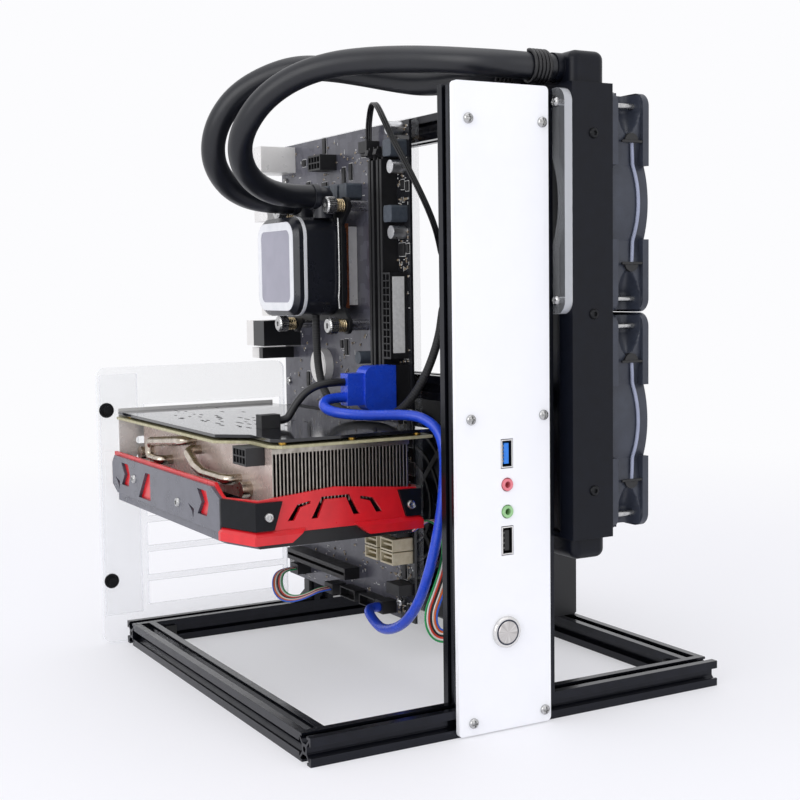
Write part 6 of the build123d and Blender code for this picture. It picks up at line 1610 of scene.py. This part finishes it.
@dataclass(frozen=True)
class HoseWraps:
    """Black lead wound round each hose beside the radiator, turn against turn."""

    wire: float = 1.05
    wire_sides: int = 10
    turns: float = 5.0
    turn_steps: int = 28
    pitch: float = 2.05
    grip: float = 0.9
    start_mm: Pair = (3.5, 5.0)
    sharp_deg: float = 60.0

    def build(self, hoses: tuple[Cord, ...]) -> None:
        """Winds one wrap on each hose.

        Args:
            hoses: The hoses, front one first.
        """
        for hose, start in zip(hoses, self.start_mm):
            wrap = self.wrap(hose, start)
            wrap.piece(f"{hose.name}_wrap", BLACK_PVC, "cable_black", sharp_deg=self.sharp_deg)

    def wrap(self, hose: Cord, start: float) -> Shape:
        """A helix round a hose: its centre goes along the path as its angle turns evenly.

        Args:
            hose: The hose.
            start: How far along the hose it begins, in millimetres.

        Returns:
            The wound lead.
        """
        path = hose.path()
        run = run_along(path)
        share = np.linspace(0, 1, int(self.turns * self.turn_steps))
        way = (start + share * self.turns * self.wire * self.pitch) * MM
        centre, across, beside = (
            np.stack([np.interp(way, run, part[:, k]) for k in range(3)], axis=1)
            for part in (path, *carried_frames(path, hose.lean))
        )
        turn = (2 * math.pi * self.turns * share)[:, None]
        radius = (hose.width / 2 + self.wire * self.grip) * MM
        helix = centre + radius * (np.cos(turn) * across + np.sin(turn) * beside)
        return tube(helix, ring_section(self.wire, self.wire_sides), (1.0, 0.0, 0.0))


@dataclass(frozen=True)
class PanelDress:
    """Tongues with their contacts in the front ports' mouths, and a dark ring round the button's cap, painted
    as the shade in the gap.
    """

    tongue: Point = (3.2, 3.9, 11.2)
    tongue_x: float = PORT_X + 0.1
    tongue_y: float = -0.3
    tongue_edge: float = 0.2
    contact: Point = (0.7, 2.6, 0.9)
    contact_edge: float = 0.1
    contact_ahead: float = 0.4
    contact_span: float = 0.36
    fast_contacts: int = 5
    slow_contacts: int = 4
    button: Point = (BUTTON_X, -5.0, BUTTON_Z)
    gap_shade: Pair = (6.2, 6.95)
    gap_shade_proud: float = 0.12
    gap_shade_stations: int = 65

    def build(self) -> None:
        """Makes the tongues, the contacts and the ring of painted gap shade, which is a square section swept
        once round.
        """
        ports = (
            ("fast_tongue", FAST_PORT_Z, BLUE_MOULDED, self.fast_contacts),
            ("slow_tongue", SLOW_PORT_Z, BLACK_NYLON, self.slow_contacts),
        )
        contacts = []
        for name, z, finish, count in ports:
            tongue = blocks((self.tongue_x, self.tongue_y, z), self.tongue, self.tongue_edge)
            tongue.piece(name, finish, "port_steel")
            rows = np.linspace(-1, 1, count) * self.tongue[2] * self.contact_span + z
            edge, front = self.tongue_x - self.tongue[0] / 2, self.tongue_y - self.contact_ahead
            centres = np.stack([np.full(count, edge), np.full(count, front), rows], axis=1)
            contacts.append(blocks(centres, self.contact, self.contact_edge))
        Shape.join(contacts).piece("port_contacts", PLATED_STEEL, "port_steel")
        inner, outer = self.gap_shade
        proud = self.gap_shade_proud
        section = [(inner, -proud), (outer, -proud), (outer, proud), (inner, proud)]
        rings = swept(section, np.linspace(0, 2 * math.pi, self.gap_shade_stations)).swapaxes(0, 1)
        gap_shade = Shape.grid(at(Axis.Y.turn(rings) + np.array(self.button)))
        gap_shade.piece("button_gap_shade", GAP_SHADE_RING, "button_steel")


@dataclass(frozen=True)
class FanDress:
    """The fans' leads laid over their rings, the clips that hold them and the hollow webs of the ears."""

    centre_y: float = 49.0
    centre_z: Pair = (283.5, 163.5)
    middle_x: float = 194.0
    ring: float = 59.0
    wire: float = 1.0
    wire_sides: int = 12
    wire_stations: int = 41
    wire_sharp_deg: float = 60.0
    wire_rest: float = 0.8
    wire_x: float = 199.2
    wire_bow: float = 3.0
    wire_half: float = 33.0
    wire_lift: float = 1.5
    clip: Point = (14.0, 1.6, 1.4)
    clip_edge: float = 0.25
    clip_x: float = 195.5
    clip_y: float = -8.7
    clip_radius: float = 4.6
    clip_front: float = 1.2
    clip_back: float = 2.0
    clip_pole: float = 0.05
    clip_stations: int = 17
    web_start: float = 20.5
    web_stop: float = 58.5
    web_half: float = 8.7
    web_rise: Pair = (-6.2, -8.6)
    web_step: float = 0.5
    web_cells: tuple[int, int] = (49, 41)
    web_sharp_deg: float = 50.0
    bowl_start: float = 0.42
    bowl_open: float = 0.33
    bowl_width: float = 0.93
    bowl: float = 9.6
    thick: float = 1.2

    def build(self) -> None:
        """Makes the leads on the near side and the webs on both sides of each fan."""
        wires, clips, webs = [], [], []
        for z in self.centre_z:
            wires.append(self.lead(z))
            for end in (-1, 1):
                clips.extend(self.holder(z, end))
                webs.extend(self.web(z, end, side) for side in (1, -1))
        Shape.join(wires).piece("fan_wires", PALE_WIRE, "fan_grey", sharp_deg=self.wire_sharp_deg)
        Shape.join(clips).piece("fan_clips", BLACK_NYLON, "fan_grey")
        Shape.join(webs).piece("fan_webs", FAN_GREY, "fan_grey", sharp_deg=self.web_sharp_deg)

    def lead(self, z: float) -> Shape:
        """A wire over the ring's arc, then evenly out over the webs; along X it drifts by a parabola.

        Args:
            z: Height of the fan's axis.

        Returns:
            The wire.
        """
        share = np.linspace(-1, 1, self.wire_stations)
        height = self.wire_half * share
        reach = self.ring + self.wire * self.wire_rest
        over = self.centre_y - np.sqrt(reach ** 2 - np.minimum(abs(height), self.web_start) ** 2)
        out = np.clip((abs(height) - self.web_start) / (self.wire_half - self.web_start), 0, 1)
        x = self.wire_x - self.wire_bow * share ** 2
        path = np.stack([x, over - self.wire_lift * out, z + height], axis=1)
        return tube(at(path), ring_section(self.wire, self.wire_sides), (1.0, 0.0, 0.0))

    def holder(self, z: float, end: int) -> list[Shape]:
        """A bar across one end of the wire and a half disc beyond it, which is a profile swept half round.

        Args:
            z: Height of the fan's axis.
            end: Up or down from the axis.

        Returns:
            The bar and the half disc.
        """
        place = np.array([self.clip_x, self.clip_y, z + end * self.wire_half])
        bar = blocks(place - np.array([0.0, self.clip_front, 0.0]), self.clip, self.clip_edge)
        turn = math.pi / 2 - end * np.linspace(0, math.pi, self.clip_stations)
        pole, radius = self.clip_pole, self.clip_radius
        back, front = self.clip_back, -self.clip_front
        rings = swept([(pole, back), (radius, back), (radius, front), (pole, front)], turn).swapaxes(0, 1)
        return [bar, Shape.grid(at(Axis.Y.turn(rings) + place), cap=True)]

    def web(self, z: float, end: int, side: int) -> Shape:
        """One web between an ear's flanges.

        Its front rises from the ring's wall to the flanges' edges by a smooth step, less a bowl that opens
        from a point by the clip to the full width at the screw, flat in the middle and steep at its sides.

        Args:
            z: Height of the fan's axis.
            end: Up or down from the axis.
            side: Near side of the fan or far side.

        Returns:
            The web as a closed sheet.
        """
        along = np.linspace(0, 1, self.web_cells[0])[:, None]
        across = np.linspace(-1, 1, self.web_cells[1])[None]
        step = np.clip(along / self.web_step, 0, 1)
        rise = self.web_rise[0] + (self.web_rise[1] - self.web_rise[0]) * step * step * (3 - 2 * step)
        opened = np.clip((along - self.bowl_start) / self.bowl_open, 1e-6, 1)
        steep = np.clip(1 - (across / (self.bowl_width * np.sqrt(opened))) ** 4, 0, 1)
        front = rise + self.bowl * steep * np.sqrt(opened)
        x = np.broadcast_to(self.middle_x + self.web_half * across, front.shape)
        reach = self.web_start + (self.web_stop - self.web_start) * along
        height = np.broadcast_to(z + end * reach, front.shape)
        faces = []
        for width, depth in ((x, front), (x[:, ::-1], front[:, ::-1] + self.thick)):
            y = self.centre_y - side * (self.centre_y - depth)
            faces.append(np.stack([width, y, height], axis=-1))
        return Shape.grid(at(np.concatenate(faces, axis=1)), cap=True)


@dataclass(frozen=True)
class SolidDress:
    """Finishes of the solids; a region with a colour of its own is found from its place in the drawing."""

    mic_z: float = 133.7
    phones_z: float = 119.2
    jack_reach: float = 3.6
    usb_reach: float = 8.0
    usb_mouth: float = 3.0
    usb_lip: float = -2.9
    tongue_half: float = 1.1
    tongue_reach: float = 5.7
    can_places: tuple[Pair, ...] = ((117.0, 311.0), (117.0, 272.0), (119.0, 334.0), (238.0, 195.0))
    can_reach: float = 4.4
    cell_place: Pair = (174.0, 187.0)
    cell_reach: float = 10.1
    drive_top: float = 88.0
    drive_bottom: float = 70.0
    drive_front: float = 150.0
    low_stack_top: float = 218.0
    loose_plug_x: float = 60.0
    fan_plate_top: float = 112.5
    corner_rear: float = 93.9
    corner_bottom: float = 109.2
    fin_end: float = 14.0
    post_top: float = 156.4
    facing: float = 0.9
    sideways: float = 0.7
    wholes: tuple[tuple[Look, str], ...] = (
        (BLACK_ANODISED, "cross_rails side_rails uprights tray_rails"),
        (BLACK_COATED, "corner_brackets pump_bracket"),
        (PLATED_STEEL, "pan_screws pump_screws fan_screws"),
        (BLACK_OXIDE, "plate_screws"),
        (WHITE_SHEET, "front_panel"),
        (ACRYLIC, "board_tray radiator_bracket rear_plate"),
        (SHELL_STEEL, "front_ports io_ports gpu_bracket cpu_socket coin_cell"),
        (POLISHED_STEEL, "button_housing"),
        (BRUSHED_AND_SHEEN_CAP, "button_cap"),
        (SOLDER_MASK, "motherboard io_board"),
        (TURNED_BRASS, "standoffs"),
        (BLACK_NYLON, "dimm_slots dimm_latch_front dimm_latch_rear board_sockets pcie_slots"),
        (BLACK_NYLON, "gpu_power_socket psu_switch"),
        (CHOKE_SLATE, "power_parts"),
        (COPPER, "cold_plate"),
        (PUMP_BLACK, "pump_body"),
        (PUMP_GREY, "pump_cap"),
        (RADIATOR_BLACK, "radiator_frame radiator_core"),
        (FAN_GREY, "fan_frames fan_rotor_upper fan_rotor_lower gpu_rotor_front gpu_rotor_rear psu_rotor"),
        (CARD_GREEN, "gpu_board"),
        (PLATE_GLOSS, "gpu_backplate"),
        (FIN_ALUMINIUM, "gpu_fins"),
        (NICKEL_PIPE, "gpu_heat_pipes"),
        (RED_LACQUER, "gpu_shroud"),
        (TRIM_GREY, "gpu_trim"),
        (CASE_BLACK, "psu_case psu_grille"),
        (BLUE_PVC, "plugs"),
    )

    def build(self) -> None:
        """Gives every solid that stays its finish, then paints the regions."""
        for finish, nodes in self.wholes:
            for node in nodes.split():
                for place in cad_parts[node].material_slots:
                    place.material = finish.material()
        self.ports()
        self.board()
        self.card()
        self.cooler_and_sheets()

    def ports(self) -> None:
        """Painted shade in the square ports' mouths, their coloured tongues, and the coloured rings of the
        jacks.
        """
        for z, colour in ((FAST_PORT_Z, BLUE_MOULDED), (SLOW_PORT_Z, BLACK_NYLON)):
            # Painted shade: the walls inside each square port's mouth take the black nylon, standing in for
            # the shade in the port.
            paint("front_ports", BLACK_NYLON, lambda spot, way: (
                (abs(spot[2] - z) < self.usb_reach) & (abs(spot[0] - PORT_X) < self.usb_mouth)
                & (spot[1] > self.usb_lip)
            ))
            paint("front_ports", colour, lambda spot, way: (
                (abs(spot[0] - PORT_X) < self.tongue_half) & (abs(spot[2] - z) < self.tongue_reach)
            ))
        for z, colour in ((self.mic_z, PINK_MOULDED), (self.phones_z, GREEN_MOULDED)):
            paint("front_ports", colour, lambda spot, way: (
                np.hypot(spot[0] - PORT_X, spot[2] - z) < self.jack_reach
            ))

    def board(self) -> None:
        """Cans, coin cell, drive sockets and the lowest ports of the motherboard, and the loose plug."""
        paint("power_parts", CAN_ALUMINIUM, lambda spot, way: np.any(
            [np.hypot(spot[1] - y, spot[2] - z) < self.can_reach for y, z in self.can_places], axis=0,
        ))
        y, z = self.cell_place
        paint("coin_cell", PLATED_STEEL, lambda spot, way: (
            np.hypot(spot[1] - y, spot[2] - z) < self.cell_reach
        ))
        paint("board_sockets", CREAM_NYLON, lambda spot, way: (
            (spot[2] > self.drive_bottom) & (spot[2] < self.drive_top) & (spot[1] < self.drive_front)
        ))
        paint("io_ports", CONNECTOR, lambda spot, way: spot[2] < self.low_stack_top)
        paint("plugs", BLACK_NYLON, lambda spot, way: spot[0] < self.loose_plug_x)

    def card(self) -> None:
        """Fan plate and corner of the card's trim, the fins' end plate and the back plate's posts."""
        paint("gpu_trim", BLACK_NYLON, lambda spot, way: (spot[2] < self.fan_plate_top) & (spot[0] > 0))
        paint("gpu_trim", CORNER_BLACK, lambda spot, way: (
            (spot[1] < self.corner_rear) & (spot[2] > self.corner_bottom)
        ))
        paint("gpu_fins", CHAMPAGNE_PLATE, lambda spot, way: (
            (spot[0] < self.fin_end) & (way[0] < -self.sideways)
        ))
        paint("gpu_backplate", TURNED_BRASS, lambda spot, way: spot[2] < self.post_top)

    def cooler_and_sheets(self) -> None:
        """The pump cap's sides, and the outward edges of the clear sheets."""
        paint("pump_cap", PUMP_BLACK, lambda spot, way: way[0] > -self.facing)
        paint("rear_plate", ACRYLIC_EDGE, lambda spot, way: abs(way[1]) < self.sideways)
        middle = np.mean(node_box("radiator_bracket"), axis=0)[:, None]
        paint("radiator_bracket", ACRYLIC_EDGE, lambda spot, way: (
            (abs(way[0]) < self.sideways) & (np.sum((spot - middle) * way, axis=0) > 0)
        ))


def write_sizes() -> None:
    """Updates the view layer, so that every placing is current."""
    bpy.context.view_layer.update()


def main() -> None:
    """Builds the camera, the studio and every dressed piece in order."""
    logging.basicConfig(level=logging.INFO)
    Viewpoint().place()
    Studio().build()
    cords = Cords()
    cords.build()
    SolidDress().build()
    PanHeads().build()
    PumpDress().build()
    Fasteners().build()
    BoardDress().build()
    CardDress().build()
    HoseWraps().build(cords.hoses)
    PanelDress().build()
    FanDress().build()
    write_sizes()


if __name__ == "__main__":
    main()
